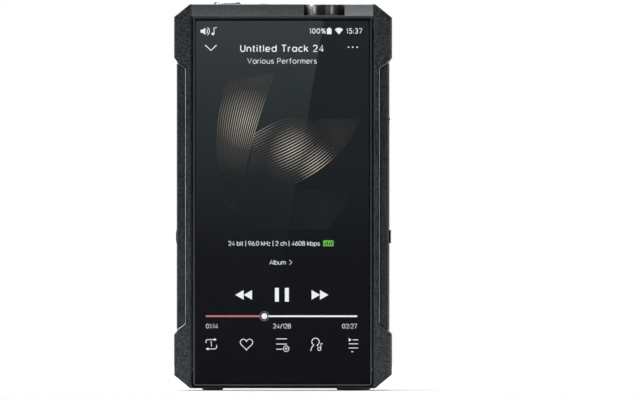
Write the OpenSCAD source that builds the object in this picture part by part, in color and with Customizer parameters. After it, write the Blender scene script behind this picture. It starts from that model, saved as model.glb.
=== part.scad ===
// Pocket music player in a machined aluminium case: a tall touch screen, a volume wheel let into the
// top bar, headphone jacks with metal collars, and side keys in recessed rails.
// X runs to the right seen from the screen side, Y from the screen to the back, Z up.
// The origin is below the middle of the case, on the plane that the two lower jack collars stand on.

/* [Case] */
// Width over the corner blocks
case_w = 88; // [84:0.5:96]
// Height of the case without the jack collars
case_h = 156; // [150:1:170]
// Depth from the glass to the rear face
case_d = 27.5; // [27:0.5:31]
// How far the rear pads stand proud
pad_t = 0.5; // [0.3:0.1:1]
// Width of the screen opening
opening_w = 73.6; // [72:0.1:76]
// Height of the smooth top bar, seen from the front
top_bar_h = 5; // [4.8:0.1:6]

/* [Corner blocks] */
// Sideways reach of the sloping corner
corner_x = 6.55; // [5:0.05:7]
// Height of the sloping corner
corner_z = 5.25; // [4:0.25:7]
// Length of the straight side of a corner block
block_straight = 16.45; // [12:0.05:20]
// Step from the corner blocks down to the side rails
block_step = 1.05; // [0.8:0.05:1.4]

/* [Screen] */
// Thickness of the cover glass
glass_t = 0.8; // [0.6:0.1:1]
// Gap between the glass and the case
glass_gap = 0.4; // [0.2:0.05:0.5]
// Black border between the glass edge and the picture
glass_border = 0.8; // [0.6:0.1:1.5]

/* [Volume wheel] */
// Wheel diameter
wheel_d = 15.2; // [14:0.1:16]
// Middle of the wheel, to the right of the case's middle
wheel_x = 16.95; // [14:0.05:18]
// Width of the wheel's opening in the top bar
wheel_opening_w = 16.7; // [16.4:0.1:17.5]

/* [Headphone jacks] */
// How far the collars stand out of the case
collar_out = 0.9; // [0.5:0.1:1.5]
// Bore of the large headphone jack
bore_large = 6.44; // [6.4:0.02:6.6]
// Bore of the balanced headphone jack
bore_balanced = 4.5; // [4.44:0.02:4.6]
// Bore of the small headphone jack
bore_small = 3.6; // [3.54:0.02:3.7]

/* [Keys] */
// Travel of the press keys
key_travel = 0.3; // [0.2:0.05:0.35]
// Travel of the hold slider
hold_travel = 2.4; // [2:0.1:3]
// Travel of the card tray
tray_travel = 17; // [16:0.5:20]

/* [Hidden] */
$fn = 64;
eps = 0.02;

// Planes of the case
z0 = collar_out;
z1 = z0 + case_h;
y_front = -14;
y_rear = y_front + case_d;
half_w = case_w / 2;
open_x = opening_w / 2;
rail_x = half_w - block_step;
z_open_top = z1 - top_bar_h;
z_open_low = z0 + 0.4;
front_chamfer = 0.4;
rear_chamfer = 2.2;
bar_chamfer = 0.3;
bezel_chamfer = 0.7;

// Walls behind the screen
ledge_y = y_front + glass_t + 0.2;
ledge_in = 0.8;
plate_y0 = y_front + 3.2;
plate_t = 1.2;
plate_y1 = plate_y0 + plate_t;
wall_in = rail_x - 3;
pocket_x = rail_x - 1.8;
floor_low = z0 + 3.1;
floor_top = z_open_top - 2.3;
flange_y = y_rear - 3.6;
cover_t = 2;
cover_y = y_rear - cover_t;
flange_x = open_x - 4;

// Rail pocket: the slope of its ends, and where its straight edge starts and stops
slope = 1.3;
pocket_in = 38.93;
pocket_low = z0 + 26;
pocket_high = z1 - 26.1;
trim_gap = 0.08;
trim_w = 0.5;
rail_gap = 0.3;
rail_sink = 0.6;
rail_leg = 1.4;

// Glass and display
glass_x = open_x - glass_gap;
glass_low = z_open_low + 0.25;
glass_top = z_open_top - 0.5;
picture_x = glass_x - glass_border + 0.1;
picture_low = glass_low + glass_border + 0.45;
picture_top = glass_top - glass_border - 0.3;

// Things that sit on the case's ends
large_x = 28.5;
small_x = -28.8;
balanced_x = -22.8;
balanced_y = -2.6;
power_x = -8.05;
wheel_r = wheel_d / 2;
wheel_y = y_front + 0.4 + wheel_r;
wheel_z0 = z_open_top + 0.55;
wheel_z1 = z1 - 0.15;
pocket_z = z_open_top + 0.4;
usb_x = [-9.5, 9.5];

// Boards
board_y = 5.4;
board_t = 1.2;
board_x = 32.3;
usb_y = board_y - 1.65;
shield_y = board_y + board_t;

// Side keys: heights of their middles, their sizes, and their line along the depth
key_y = 0;
key_mid_z = z0 + 109.4;
key_long = 8.2;
key_wide = 4.4;
key_pitch = 14.45;
strip_long = 38;
strip_wide = 8.6;
low_key_z = z0 + 61.6;
low_key_long = 5.3;
low_key_wide = 3.2;
key_lift = 0.18;
flange_t = 0.6;
tray_y = 7.5;
tray_z = z0 + 37.7;
tray_long = 18.6;
tray_wide = 4;
card_z = z0 + 39.6;

black = "#2e3236";
satin = "#6b7075";
steel = "#b9bcc0";
copper = "#b87333";
green = "#1c4a36";
dark = "#17181b";

// ---------- shared shapes ----------

// A right-hand shape drawn on both sides
module both_sides() {
  children();
  mirror([1, 0, 0]) children();
}

// A shape drawn in X and Z, given its depth along Y
module along_depth(y_from, y_to) {
  translate([0, y_to, 0]) rotate([90, 0, 0]) linear_extrude(height = y_to - y_from) children();
}

// A shape drawn in Y and Z, given its width along X
module along_width(x_from, x_to) {
  translate([x_from, 0, 0]) rotate([90, 0, 90]) linear_extrude(height = x_to - x_from) children();
}

// A box by its two corners
module box(low, high) {
  translate(low) cube(high - low);
}

// A cylinder that stands along Z, Y or X from a point
module pin_z(p, r, h) { translate(p) cylinder(r = r, h = h); }
module pin_y(p, r, h) { translate(p) rotate([-90, 0, 0]) cylinder(r = r, h = h); }
module pin_x(p, r, h) { translate(p) rotate([0, 90, 0]) cylinder(r = r, h = h); }

// A rectangle with round corners, its middle at the origin
module round_rect(w, h, r) {
  square([w - 2 * r, h], center = true);
  square([w, h - 2 * r], center = true);
  for (sx = [-1, 1], sz = [-1, 1])
    translate([sx * (w / 2 - r), sz * (h / 2 - r)]) circle(r = r);
}

// A pan-head screw whose head rests on the plane y and whose shank runs towards -Y
module screw_to_front(x, y, z, shank) {
  pin_y([x, y, z], 1.4, 0.8);
  pin_y([x, y - shank, z], 0.8, shank + eps);
}

// ---------- outlines ----------

// Outer edge of a side frame, from the bottom up, in X and Z
frame_edge = [
  [open_x + 0.7, z0],
  [half_w, z0 + corner_z],
  [half_w, z0 + corner_z + block_straight],
  [rail_x, z0 + corner_z + block_straight + 1.5],
  [rail_x, z1 - corner_z - block_straight - 1.5],
  [half_w, z1 - corner_z - block_straight],
  [half_w, z1 - corner_z],
  [open_x + 0.7, z1]
];

// Edge of the rail pocket, moved inwards by inset: outer low, inner low, inner high, outer high
function pocket_edge(inset) =
  let (
    x_in = pocket_in + inset,
    x_out = rail_x + 2,
    rise = inset * norm([1, 1 / slope]) - inset / slope,
    run = (x_out - x_in) / slope
  )
  [
    [x_out, pocket_low + rise - run],
    [x_in, pocket_low + rise],
    [x_in, pocket_high - rise],
    [x_out, pocket_high - rise + run]
  ];

// The part of the case's section that the rail and its trim wrap, in X and Y
module wrap_zone() {
  translate([pocket_in, y_front - 1]) square([10, 1 + 2]);
  translate([pocket_x, y_front - 1]) square([10, case_d + 2]);
  translate([pocket_in, cover_y]) square([10, cover_t + 1]);
}

// ---------- case ----------

module side_frame() {
  cavity_z0 = z0 + 6.4;
  cavity_z1 = z1 - 7.4;
  difference() {
    intersection() {
      along_depth(y_front, y_rear)
        polygon(concat([[flange_x, z0 + 8]], [[flange_x, z1 - 10]], [[open_x, z1 - 10], [open_x, z1]],
          [for (i = [len(frame_edge) - 1 : -1 : 0]) frame_edge[i]], [[open_x, z0], [open_x, z0 + 8]]));
      // chamfers on the outer edges, then on the ends
      linear_extrude(height = z1 + 1) polygon([
        [flange_x - 1, y_front], [half_w - front_chamfer, y_front], [half_w, y_front + front_chamfer],
        [half_w, y_rear - rear_chamfer], [half_w - rear_chamfer, y_rear], [flange_x - 1, y_rear]
      ]);
      along_width(flange_x - 1, half_w + 1) polygon([
        [y_front, z0], [y_front, z1 - bar_chamfer], [y_front + bar_chamfer, z1],
        [y_rear - rear_chamfer, z1], [y_rear, z1 - rear_chamfer],
        [y_rear, z0 + rear_chamfer], [y_rear - rear_chamfer, z0]
      ]);
    }
    // inside of the channel
    box([flange_x - 1, plate_y0, cavity_z0], [wall_in, flange_y, cavity_z1]);
    // screen opening, then the space above the ledge that carries the glass
    box([flange_x - 1, y_front - 1, z0 - 1], [open_x, ledge_y, z1 + 1]);
    box([flange_x - 1, ledge_y - eps, z0 - 1], [open_x - ledge_in, plate_y0 + 1, z1 + 1]);
    // opening for the rear cover
    box([flange_x - 1, cover_y, z0 - 1], [open_x, y_rear + 1, z1 + 1]);
    // pocket for the rail and its trim
    intersection() {
      along_depth(y_front - 2, y_rear + 2) polygon(pocket_edge(0));
      translate([0, 0, z0]) linear_extrude(height = case_h) wrap_zone();
    }
    // bevel beside the glass
    translate([0, 0, z_open_low + 1]) linear_extrude(height = z_open_top - z_open_low - 1) polygon([
      [open_x - 0.5, y_front + bezel_chamfer + 0.5], [open_x + bezel_chamfer + 0.5, y_front - 0.5],
      [open_x - 0.5, y_front - 0.5]
    ]);
    // tapped holes for the chassis and rear screws, and clearance holes for the rail screws
    for (z = chassis_side_z) pin_y([chassis_side_x, plate_y0 - 2.2, z], 0.82, 3);
    for (z = rear_screw_z) pin_y([rear_screw_x, flange_y - 1, z], 0.82, 4);
    for (z = rail_screw_z, y = rail_screw_y) pin_x([wall_in - 1, y, z], 0.82, 3);
  }
}

module side_frame_right() {
  color(black) difference() {
    side_frame();
    // holes for the key stems, the hold slider's arm and the card tray
    for (z = key_heights) pin_x([wall_in - 1, key_y, z], 1.1, 4);
    box([wall_in - 1, key_y - 1.2, low_key_z - hold_travel - 1.1], [pocket_x + 1, key_y + 1.2, low_key_z + 1.1]);
    box([wall_in - 1, tray_y - 1, card_z - 6.8], [pocket_x + 1, tray_y + 1, card_z + 6.8]);
  }
}

module side_frame_left() {
  color(black) mirror([1, 0, 0]) difference() {
    side_frame();
    pin_x([wall_in - 1, key_y, low_key_z], 1.1, 4);
  }
}

// A rail: a channel that wraps the side of the case between the corner blocks
module side_rail() {
  edge = pocket_edge(trim_gap + trim_w + rail_gap);
  face_y = y_front + rail_sink;
  back_y = y_rear - rail_sink;
  difference() {
    intersection() {
      along_depth(y_front, y_rear) polygon(edge);
      translate([0, 0, z0]) linear_extrude(height = case_h)
        polygon([
          [pocket_in, face_y], [rail_x - front_chamfer, face_y], [rail_x, face_y + front_chamfer],
          [rail_x, back_y - rear_chamfer], [rail_x - rear_chamfer, back_y], [pocket_in, back_y],
          [pocket_in, cover_y], [pocket_x, cover_y], [pocket_x, y_front + 2], [pocket_in, y_front + 2]
        ]);
    }
    for (z = rail_screw_z, y = rail_screw_y) pin_x([pocket_x - 1, y, z], 0.82, 2.2);
  }
}

// A polished trim that frames the rail
module rail_trim() {
  intersection() {
    along_depth(y_front, y_rear) difference() {
      polygon(pocket_edge(trim_gap));
      polygon(pocket_edge(trim_gap + trim_w));
    }
    translate([0, 0, z0]) linear_extrude(height = case_h)
      intersection() {
        wrap_zone();
        polygon([
          [pocket_in, y_front], [rail_x - front_chamfer, y_front], [rail_x, y_front + front_chamfer],
          [rail_x, y_rear - rear_chamfer], [rail_x - rear_chamfer, y_rear], [pocket_in, y_rear]
        ]);
      }
  }
}

// A slot for a key: the cap's hole, and the wider pocket behind it for the cap's flange
module key_slot(z, long, wide, clearance) {
  translate([pocket_x, key_y, z]) {
    rotate([90, 0, 90]) linear_extrude(height = 5) round_rect(wide + 2 * clearance, long + 2 * clearance, 0.8);
    rotate([90, 0, 90]) translate([0, 0, -1])
      linear_extrude(height = 1 + key_travel + flange_t + 0.1) round_rect(wide + 1.4, long + 1.4, 0.8);
  }
}

module side_rail_right() {
  color(black) difference() {
    side_rail();
    for (z = key_heights) key_slot(z, key_long, key_wide, 0.12);
    hold_slot();
    // mouth of the card tray
    box([pocket_x - 1, tray_y - tray_wide / 2 - 0.1, tray_z - tray_long / 2 - 0.1],
        [rail_x + 1, tray_y + tray_wide / 2 + 0.1, tray_z + tray_long / 2 + 0.1]);
  }
}

module side_rail_left() {
  color(black) mirror([1, 0, 0]) difference() {
    side_rail();
    // shallow seat for the touch strip
    translate([rail_x - 0.6, key_y, key_mid_z]) rotate([90, 0, 90])
      linear_extrude(height = 2) round_rect(strip_wide + 0.1, strip_long + 0.1, 2);
    key_slot(low_key_z, low_key_long, low_key_wide, 0.12);
  }
}

module hold_slot() {
  low = low_key_z - low_key_long / 2 - hold_travel - 0.1;
  high = low_key_z + low_key_long / 2 + 0.1;
  box([rail_x - 0.9, key_y - low_key_wide / 2 - 0.1, low], [rail_x + 1, key_y + low_key_wide / 2 + 0.1, high]);
  box([pocket_x - 1, key_y - 1.2, low_key_z - hold_travel - 1.1], [rail_x, key_y + 1.2, low_key_z + 1.1]);
}

module rail_trim_right() { color(steel) rail_trim(); }
module rail_trim_left() { color(steel) mirror([1, 0, 0]) rail_trim(); }

// Plain section of the top bar, with its lug for the chassis screws
module top_bar() {
  lug_z = floor_top - 5;
  color(satin) difference() {
    union() {
      along_width(-open_x, open_x) polygon([
        [y_front + bar_chamfer, z_open_top], [y_front, z_open_top + bar_chamfer], [y_front, z1 - bar_chamfer],
        [y_front + bar_chamfer, z1], [y_rear - rear_chamfer, z1], [y_rear, z1 - rear_chamfer],
        [y_rear, z1 - 6], [cover_y, z1 - 6], [cover_y, z1 - 10], [flange_y, z1 - 10],
        [flange_y, floor_top], [plate_y0, floor_top], [plate_y0, z_open_top - 0.9],
        [ledge_y, z_open_top - 0.9], [ledge_y, z_open_top]
      ]);
      for (x = chassis_end_x) box([x - 3, plate_y1, lug_z], [x + 3, plate_y1 + 2, floor_top + 1]);
    }
    // wheel pocket: round at the back, open to the front and the top
    pin_z([wheel_x, wheel_y, pocket_z], wheel_r + 0.4, 10);
    box([wheel_x - wheel_opening_w / 2, y_front - 1, pocket_z], [wheel_x + wheel_opening_w / 2, wheel_y, z1 + 1]);
    pin_z([wheel_x, wheel_y, floor_top - 1], 2.15, 10);
    // groove for the light ring
    translate([wheel_x, wheel_y, pocket_z - 0.6]) linear_extrude(height = 1) difference() {
      circle(r = 6.4);
      circle(r = 5.2);
    }
    pin_z([balanced_x, balanced_y, floor_top - 1], 3.95, 20);
    pin_z([power_x, balanced_y, z1 - 1.6], 2, 5);
    pin_z([power_x, balanced_y, z1 - 3.4], 2.7, 3.4 - 1.6);
    pin_z([power_x, balanced_y, floor_top - 1], 1.1, 10);
    for (x = chassis_end_x) pin_y([x, plate_y1 - 1, lug_z + 2.5], 0.82, 5);
  }
}

module bottom_bar() {
  lug_z = floor_low;
  color(black) difference() {
    union() {
      along_width(-open_x, open_x) polygon([
        [y_front, z0], [y_front, z_open_low], [ledge_y, z_open_low], [ledge_y, z_open_low + 0.9],
        [plate_y0, z_open_low + 0.9], [plate_y0, floor_low], [flange_y, floor_low],
        [flange_y, z0 + 8], [cover_y, z0 + 8], [cover_y, z0 + 5], [y_rear, z0 + 5],
        [y_rear, z0 + rear_chamfer], [y_rear - rear_chamfer, z0]
      ]);
      for (x = chassis_end_x) box([x - 3, plate_y1, lug_z - 1], [x + 3, plate_y1 + 2, lug_z + 5]);
    }
    pin_z([large_x, 0, z0 - 1], 5.55, 10);
    pin_z([small_x, 0, z0 - 1], 3.05, 10);
    for (x = usb_x) translate([x, usb_y, z0 - 1]) linear_extrude(height = 10) round_rect(9.1, 3.4, 1.69);
    for (x = chassis_end_x) pin_y([x, plate_y1 - 1, lug_z + 2.5], 0.82, 5);
  }
}

// ---------- chassis and fasteners ----------

chassis_side_x = 38.2;
chassis_side_z = [z0 + 12, z0 + 56, z0 + 100, z1 - 13];
chassis_end_x = [-32, 6, 33];
rear_screw_x = 34.9;
rear_screw_z = [z0 + 11, z0 + case_h / 2, z1 - 12.5];
rail_screw_z = [z0 + 34, z0 + 80, z1 - 34];
rail_screw_y = [-6.5, 4];
key_heights = [key_mid_z - key_pitch, key_mid_z, key_mid_z + key_pitch];
board_post_x = [-29.5, 29.5];
board_post_z = [z0 + 52, z0 + 140.5];

module chassis_plate() {
  low = floor_low + 0.2;
  high = floor_top - 0.2;
  color(satin) difference() {
    union() {
      box([-wall_in + 0.2, plate_y0, z0 + 7], [wall_in - 0.2, plate_y1, z1 - 8]);
      box([-open_x + 0.9, plate_y0, low], [open_x - 0.9, plate_y1, high]);
    }
    for (s = [-1, 1], z = chassis_side_z) pin_y([s * chassis_side_x, plate_y0 - 1, z], 0.82, 4);
    for (x = chassis_end_x) {
      pin_y([x, plate_y0 - 1, floor_low + 2.5], 0.82, 4);
      pin_y([x, plate_y0 - 1, floor_top - 2.5], 0.82, 4);
    }
    // window for the display's flex
    box([-12, plate_y0 - 1, z0 + 33], [6, plate_y1 + 1, z0 + 35.2]);
    for (x = board_post_x, z = board_post_z) pin_y([x, plate_y0 - 1, z], 0.9, 4);
  }
}

module chassis_screws() {
  color(steel) {
    for (s = [-1, 1], z = chassis_side_z) screw_to_front(s * chassis_side_x, plate_y1, z, 3);
    for (x = chassis_end_x, z = [floor_low + 2.5, floor_top - 2.5])
      screw_to_front(x, plate_y1 + 2, z, 3.1);
  }
}

module rear_screws() {
  color(steel)
    for (s = [-1, 1], z = rear_screw_z) difference() {
      union() {
        pin_y([s * rear_screw_x, y_rear - 1, z], 1.5, 0.8);
        pin_y([s * rear_screw_x, flange_y - 0.8, z], 0.8, y_rear - 0.9 - flange_y + 0.8);
      }
      // hexagon socket
      translate([s * rear_screw_x, y_rear - 0.8, z]) rotate([-90, 0, 0]) cylinder(r = 0.8, h = 2, $fn = 6);
    }
}

module rail_screws() {
  color(steel) both_sides()
    for (z = rail_screw_z, y = rail_screw_y) {
      pin_x([wall_in - 0.6, y, z], 1.4, 0.6);
      pin_x([wall_in - eps, y, z], 0.8, pocket_x - wall_in + 1.1);
    }
}

module board_posts() {
  color(steel)
    for (x = board_post_x, z = board_post_z) difference() {
      union() {
        pin_y([x, plate_y1, z], 1.8, board_y - plate_y1);
        pin_y([x, plate_y0, z], 0.88, plate_t + eps);
      }
      pin_y([x, board_y - 4, z], 0.82, 5);
    }
}

module board_screws() {
  color(steel)
    for (x = board_post_x, z = board_post_z) screw_to_front(x, board_y + board_t, z, board_t + 3);
}

// ---------- rear ----------

vent_low = z0 + 77;
vent_rows = 11;
vent_pitch = 4.4;
vent_w = 1.7;
vent_reach = 24;
vent_tilt = 24;
inlay_low = z0 + 27;
inlay_high = z0 + 67;

// One slanted vent slot, in X and Z
module vent_slot(row) {
  translate([2.2, vent_low + row * vent_pitch]) rotate(vent_tilt)
    translate([0, -vent_w / 2]) {
      square([vent_reach / cos(vent_tilt) - vent_w / 2, vent_w]);
      translate([0, vent_w / 2]) circle(r = vent_w / 2);
      translate([vent_reach / cos(vent_tilt) - vent_w / 2, vent_w / 2]) circle(r = vent_w / 2);
    }
}

// Six-sided panel, its four corners cut off
module cut_panel(x, low, high, cut) {
  polygon([
    [-x + cut, low], [x - cut, low], [x, low + cut], [x, high - cut],
    [x - cut, high], [-x + cut, high], [-x, high - cut], [-x, low + cut]
  ]);
}

module rear_cover() {
  low = z0 + 5.2;
  high = z1 - 6.2;
  color(black) difference() {
    along_depth(cover_y, y_rear) translate([0, (low + high) / 2]) round_rect(2 * open_x - 0.4, high - low, 1);
    // vents and the recess for the mesh behind them
    both_sides() along_depth(cover_y - 1, y_rear + 1) for (i = [0 : vent_rows - 1]) vent_slot(i);
    along_depth(cover_y - 1, cover_y + 0.5) cut_panel(29, vent_low - 3, vent_low + 58.5, 3);
    // shallow field around the vents
    along_depth(y_rear - 0.5, y_rear + 1) cut_panel(29.5, vent_low - 4, vent_low + 59.5, 6);
    // seats for the inlay, the antenna window and the pads
    along_depth(y_rear - 0.8, y_rear + 1) cut_panel(29.5, inlay_low, inlay_high, 6);
    along_depth(cover_y - 1, y_rear + 1) cut_panel(21, z1 - 15.3, z1 - 9.2, 1.2);
    for (z = pad_z) along_depth(y_rear - 0.4, y_rear + 1) translate([0, z]) round_rect(pad_w, pad_h, 2.4);
    for (s = [-1, 1], z = rear_screw_z) {
      pin_y([s * rear_screw_x, cover_y - 1, z], 0.85, 5);
      pin_y([s * rear_screw_x, y_rear - 1, z], 1.55, 5);
    }
  }
}

pad_w = 52;
pad_h = 5;
pad_z = [z0 + 17, z0 + 72];

module rear_pads() {
  color(dark)
    for (z = pad_z)
      along_depth(y_rear - 0.4, y_rear + pad_t) translate([0, z]) round_rect(pad_w - 0.1, pad_h - 0.1, 2.35);
}

module rear_inlay() {
  color("#232629") along_depth(y_rear - 0.8, y_rear - 0.2) cut_panel(29.4, inlay_low + 0.1, inlay_high - 0.1, 6);
}

module antenna_window() {
  color(dark) along_depth(cover_y, y_rear) cut_panel(20.9, z1 - 15.2, z1 - 9.3, 1.2);
}

// Perforated sheet behind the vents
module vent_mesh() {
  color(steel) difference() {
    along_depth(cover_y, cover_y + 0.4) cut_panel(28.9, vent_low - 2.9, vent_low + 58.4, 3);
    for (i = [0 : 9], j = [0 : 10])
      translate([-26.1 + i * 5.8, cover_y - 1, vent_low + 1.4 + j * 5.3])
        rotate([-90, 0, 0]) cylinder(r = 2.3, h = 3, $fn = 6);
  }
}

// ---------- screen ----------

module cover_glass() {
  color(dark) along_depth(y_front, y_front + glass_t)
    translate([0, (glass_low + glass_top) / 2]) round_rect(2 * glass_x, glass_top - glass_low, 1);
}

module display_gasket() {
  y = y_front + glass_t;
  color(dark) along_depth(y, ledge_y) difference() {
    translate([0, (glass_low + glass_top) / 2]) round_rect(2 * glass_x, glass_top - glass_low, 1);
    translate([0, (picture_low + picture_top) / 2])
      square([2 * picture_x + 0.5, picture_top - picture_low + 0.5], center = true);
  }
}

module display_panel() {
  color("#101114") box(
    [-picture_x - 0.05, y_front + glass_t, picture_low - 0.05],
    [picture_x + 0.05, plate_y0 - 0.4, picture_top + 0.05]);
}

module display_flex() {
  x0 = -9;
  x1 = 3;
  color("#a9702a") {
    box([x0, plate_y0 - 0.4, z0 + 20], [x1, plate_y0 - 0.2, z0 + 34.2]);
    box([x0, plate_y0 - 0.4, z0 + 34], [x1, board_y - 0.2, z0 + 34.2]);
    box([x0, board_y - 0.2, z0 + 34], [x1, board_y, z0 + 42]);
  }
}

// ---------- electronics ----------

module main_board() {
  color(green) difference() {
    box([-board_x, board_y, z0 + 28], [board_x, board_y + board_t, z1 - 8.6]);
    // room for the large jack, and the screws
    box([21, board_y - 1, z0 + 27], [board_x + 1, board_y + 3, z0 + 34.5]);
    for (x = board_post_x, z = board_post_z) pin_y([x, board_y - 1, z], 0.85, 4);
  }
}

module shield_can(x0, z0_can, w, h) {
  box([x0, shield_y, z0_can], [x0 + w, shield_y + 1.8, z0_can + h]);
}

module processor_shield() { color(steel) shield_can(-14, z0 + 110, 28, 28); }

module audio_shields() {
  color(steel) for (x = [-28, 4]) shield_can(x, z0 + 78, 24, 27);
}

module heat_spreader() {
  color(copper) box([-26.5, shield_y + 1.8, z0 + 74], [26.5, shield_y + 2.3, z0 + 140]);
}

module heatsink() {
  base_y = shield_y + 2.3;
  color(satin) {
    box([-25, base_y, z0 + 80], [25, base_y + 0.6, z0 + 134]);
    for (i = [0 : 16])
      box([-24.6 + i * 3, base_y + 0.6 - eps, z0 + 80], [-24.6 + i * 3 + 1.2, cover_y - 0.2, z0 + 134]);
  }
}

module battery_pack() {
  color("#3a3f52") {
    box([-27, plate_y1 + 0.2, z0 + 44], [27, 2.8, z0 + 116]);
    box([-22, plate_y1 + 0.6, z0 + 116 - eps], [22, 1.8, z0 + 120]);
  }
}

module battery_lead() {
  color("#a03028") for (x = [-6, -3.5, -1])
    box([x, 0.6, z0 + 120], [x + 1.3, 1.9, z0 + 124.5]);
  color("#e8e4da") box([-7.5, 0.2, z0 + 124.5], [1.8, board_y, z0 + 129]);
}

module output_board() {
  color(green) box([-board_x, board_y, floor_low + 0.4], [20.5, board_y + board_t, z0 + 27]);
}

module output_flex() {
  color("#a9702a") {
    box([-24, shield_y, z0 + 20], [-8, shield_y + 0.2, z0 + 38]);
    box([-22.5, shield_y + 0.2, z0 + 21], [-9.5, shield_y + 1.2, z0 + 24]);
    box([-22.5, shield_y + 0.2, z0 + 34], [-9.5, shield_y + 1.2, z0 + 37]);
  }
}

module filter_capacitors() {
  color("#26303c") for (i = [0 : 5])
    pin_y([-17 + i * 6.8, board_y - 7, z0 + 19.5], 2.9, 7);
}

// A jack, its mouth at the origin: a moulded body, a round nose through the case, a blind bore for the plug
module jack(half_x, y_back, nose_r, nose, bore, depth, body) {
  difference() {
    union() {
      box([-half_x, -half_x * 0.95, nose], [half_x, y_back, nose + body]);
      cylinder(r = nose_r, h = nose + eps);
    }
    translate([0, 0, -1]) cylinder(r = bore / 2, h = depth + 1);
  }
}

// A collar nut around a jack's nose, from the case's face outwards
module collar(x, y, r_in, r_out, z_face, up) {
  translate([x, y, z_face]) mirror([0, 0, up ? 0 : 1]) rotate_extrude()
    polygon([[r_in, 0], [r_out, 0], [r_out, collar_out * 0.7], [r_out - collar_out * 0.3, collar_out], [r_in, collar_out]]);
}

module large_jack() {
  color(dark) difference() {
    translate([large_x, 0, 0]) jack(6.7, 6.4, 5.5, floor_low, bore_large, 31, 30);
    for (z = contact_z) box([large_x - 1.1, -7, z - 1.6], [large_x + 1.1, -bore_large / 2 + 0.3, z + 1.6]);
  }
}
contact_z = [11, 19, 27];

module large_jack_contacts() {
  y = -bore_large / 2 - 0.35;
  color("#d4a94a") for (z = contact_z) {
    box([large_x - 0.9, y - 0.25, z - 1.5], [large_x + 0.9, y, z + 1.3]);
    box([large_x - 0.9, -7.4, z + 1.0], [large_x + 0.9, y, z + 1.3]);
  }
}

module large_jack_collar() { color("#55585c") collar(large_x, 0, 5.5, 6.85, z0, false); }
module small_jack() {
  color(dark) translate([small_x, 0, 0]) jack(3.9, board_y, 3, floor_low, bore_small, 15, 14.5);
}

module small_jack_collar() { color("#55585c") collar(small_x, 0, 3, 4.3, z0, false); }

module balanced_jack() {
  color(dark) translate([balanced_x, balanced_y, z1 + collar_out]) mirror([0, 0, 1])
    jack(4.9, board_y - balanced_y, 3.9, z1 + collar_out - floor_top + 0.1, bore_balanced, 20, 19);
}

module balanced_jack_collar() { color("#55585c") collar(balanced_x, balanced_y, 3.9, 5.45, z1, true); }

// A USB-C socket: a drawn steel shell closed at its inner end, and its tongue
module usb_port(x) {
  z_in = floor_low + 4.2;
  translate([x, usb_y, z0 + 0.2]) {
    difference() {
      linear_extrude(height = z_in - z0) round_rect(8.94, 3.26, 1.6);
      translate([0, 0, -1]) linear_extrude(height = z_in - z0 - 0.4) round_rect(8.34, 2.56, 1.26);
    }
    translate([-3.34, -0.35, 0.7]) cube([6.68, 0.7, z_in - z0 - 1.4]);
  }
}

module usb_port_left() { color(steel) usb_port(usb_x[0]); }
module usb_port_right() { color(steel) usb_port(usb_x[1]); }

// ---------- volume wheel ----------

module volume_wheel() {
  h = wheel_z1 - wheel_z0;
  c = 0.35;
  color(dark) translate([wheel_x, wheel_y, wheel_z0]) rotate_extrude($fn = 128) polygon([
    [1.5, 0], [wheel_r - c, 0], [wheel_r, c], [wheel_r, h - c], [wheel_r - c, h],
    [wheel_r - 1.6, h], [wheel_r - 1.9, h - 0.3], [0, h - 0.3], [0, h - 1.2], [1.5, h - 1.2]
  ]);
}

module wheel_shaft() {
  color(steel) pin_z([wheel_x, wheel_y, floor_top - 3.6], 1.48, wheel_z1 - 1.2 - floor_top + 3.6 - eps);
}

module encoder() {
  color("#3b3d40") difference() {
    union() {
      box([wheel_x - 5.5, plate_y1 + 0.2, floor_top - 4.6], [wheel_x + 5.5, wheel_y + 3.7, floor_top - 0.1]);
      pin_z([wheel_x, wheel_y, floor_top - 0.2], 2.1, pocket_z - floor_top + 0.1);
    }
    pin_z([wheel_x, wheel_y, floor_top - 3.8], 1.55, 12);
  }
}

module encoder_board() {
  color(green)
    box([wheel_x - 7, plate_y1 + 0.2, floor_top - 5.6], [wheel_x + 7, board_y, floor_top - 4.6]);
}

module wheel_light_ring() {
  color("#c9d2d8") translate([wheel_x, wheel_y, pocket_z - 0.6]) linear_extrude(height = 0.55) difference() {
    circle(r = 6.35);
    circle(r = 5.25);
  }
}

// ---------- keys ----------

// A key: its cap through the rail, the flange that keeps it in, and the stem to its switch
module key_body(z, long, wide, top_x) {
  flange_x0 = pocket_x + key_travel + 0.05;
  translate([0, key_y, z]) {
    translate([flange_x0, 0, 0]) rotate([90, 0, 90]) linear_extrude(height = flange_t)
      round_rect(wide + 1, long + 1, 0.7);
    translate([flange_x0 + flange_t - eps, 0, 0]) rotate([90, 0, 90])
      linear_extrude(height = top_x - flange_x0 - flange_t + eps) round_rect(wide, long, 0.7);
    pin_x([wall_in + 0.1, 0, 0], 0.9, flange_x0 - wall_in);
  }
}

// A media key with a dished face between two low ridges
module dished_key(z) {
  intersection() {
    key_body(z, key_long, key_wide, rail_x + 1);
    along_depth(key_y - 5, key_y + 5) translate([rail_x, z]) polygon([
      [-5, -key_long], [0, -key_long], [0, -key_long / 2], [key_lift, -2.2], [key_lift, -1.8], [0.05, -0.4],
      [0.05, 0.4], [key_lift, 1.8], [key_lift, 2.2], [0, key_long / 2], [0, key_long], [-5, key_long]
    ]);
  }
}

module next_key() { color(black) dished_key(key_mid_z + key_pitch); }
module previous_key() { color(black) dished_key(key_mid_z - key_pitch); }

// The play key has a rib across its middle to feel for
module play_key() {
  color(black) {
    dished_key(key_mid_z);
    translate([rail_x - 0.1, key_y, key_mid_z]) rotate([90, 0, 0])
      cylinder(r = 0.6, h = key_wide - 1.2, center = true);
  }
}

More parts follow.
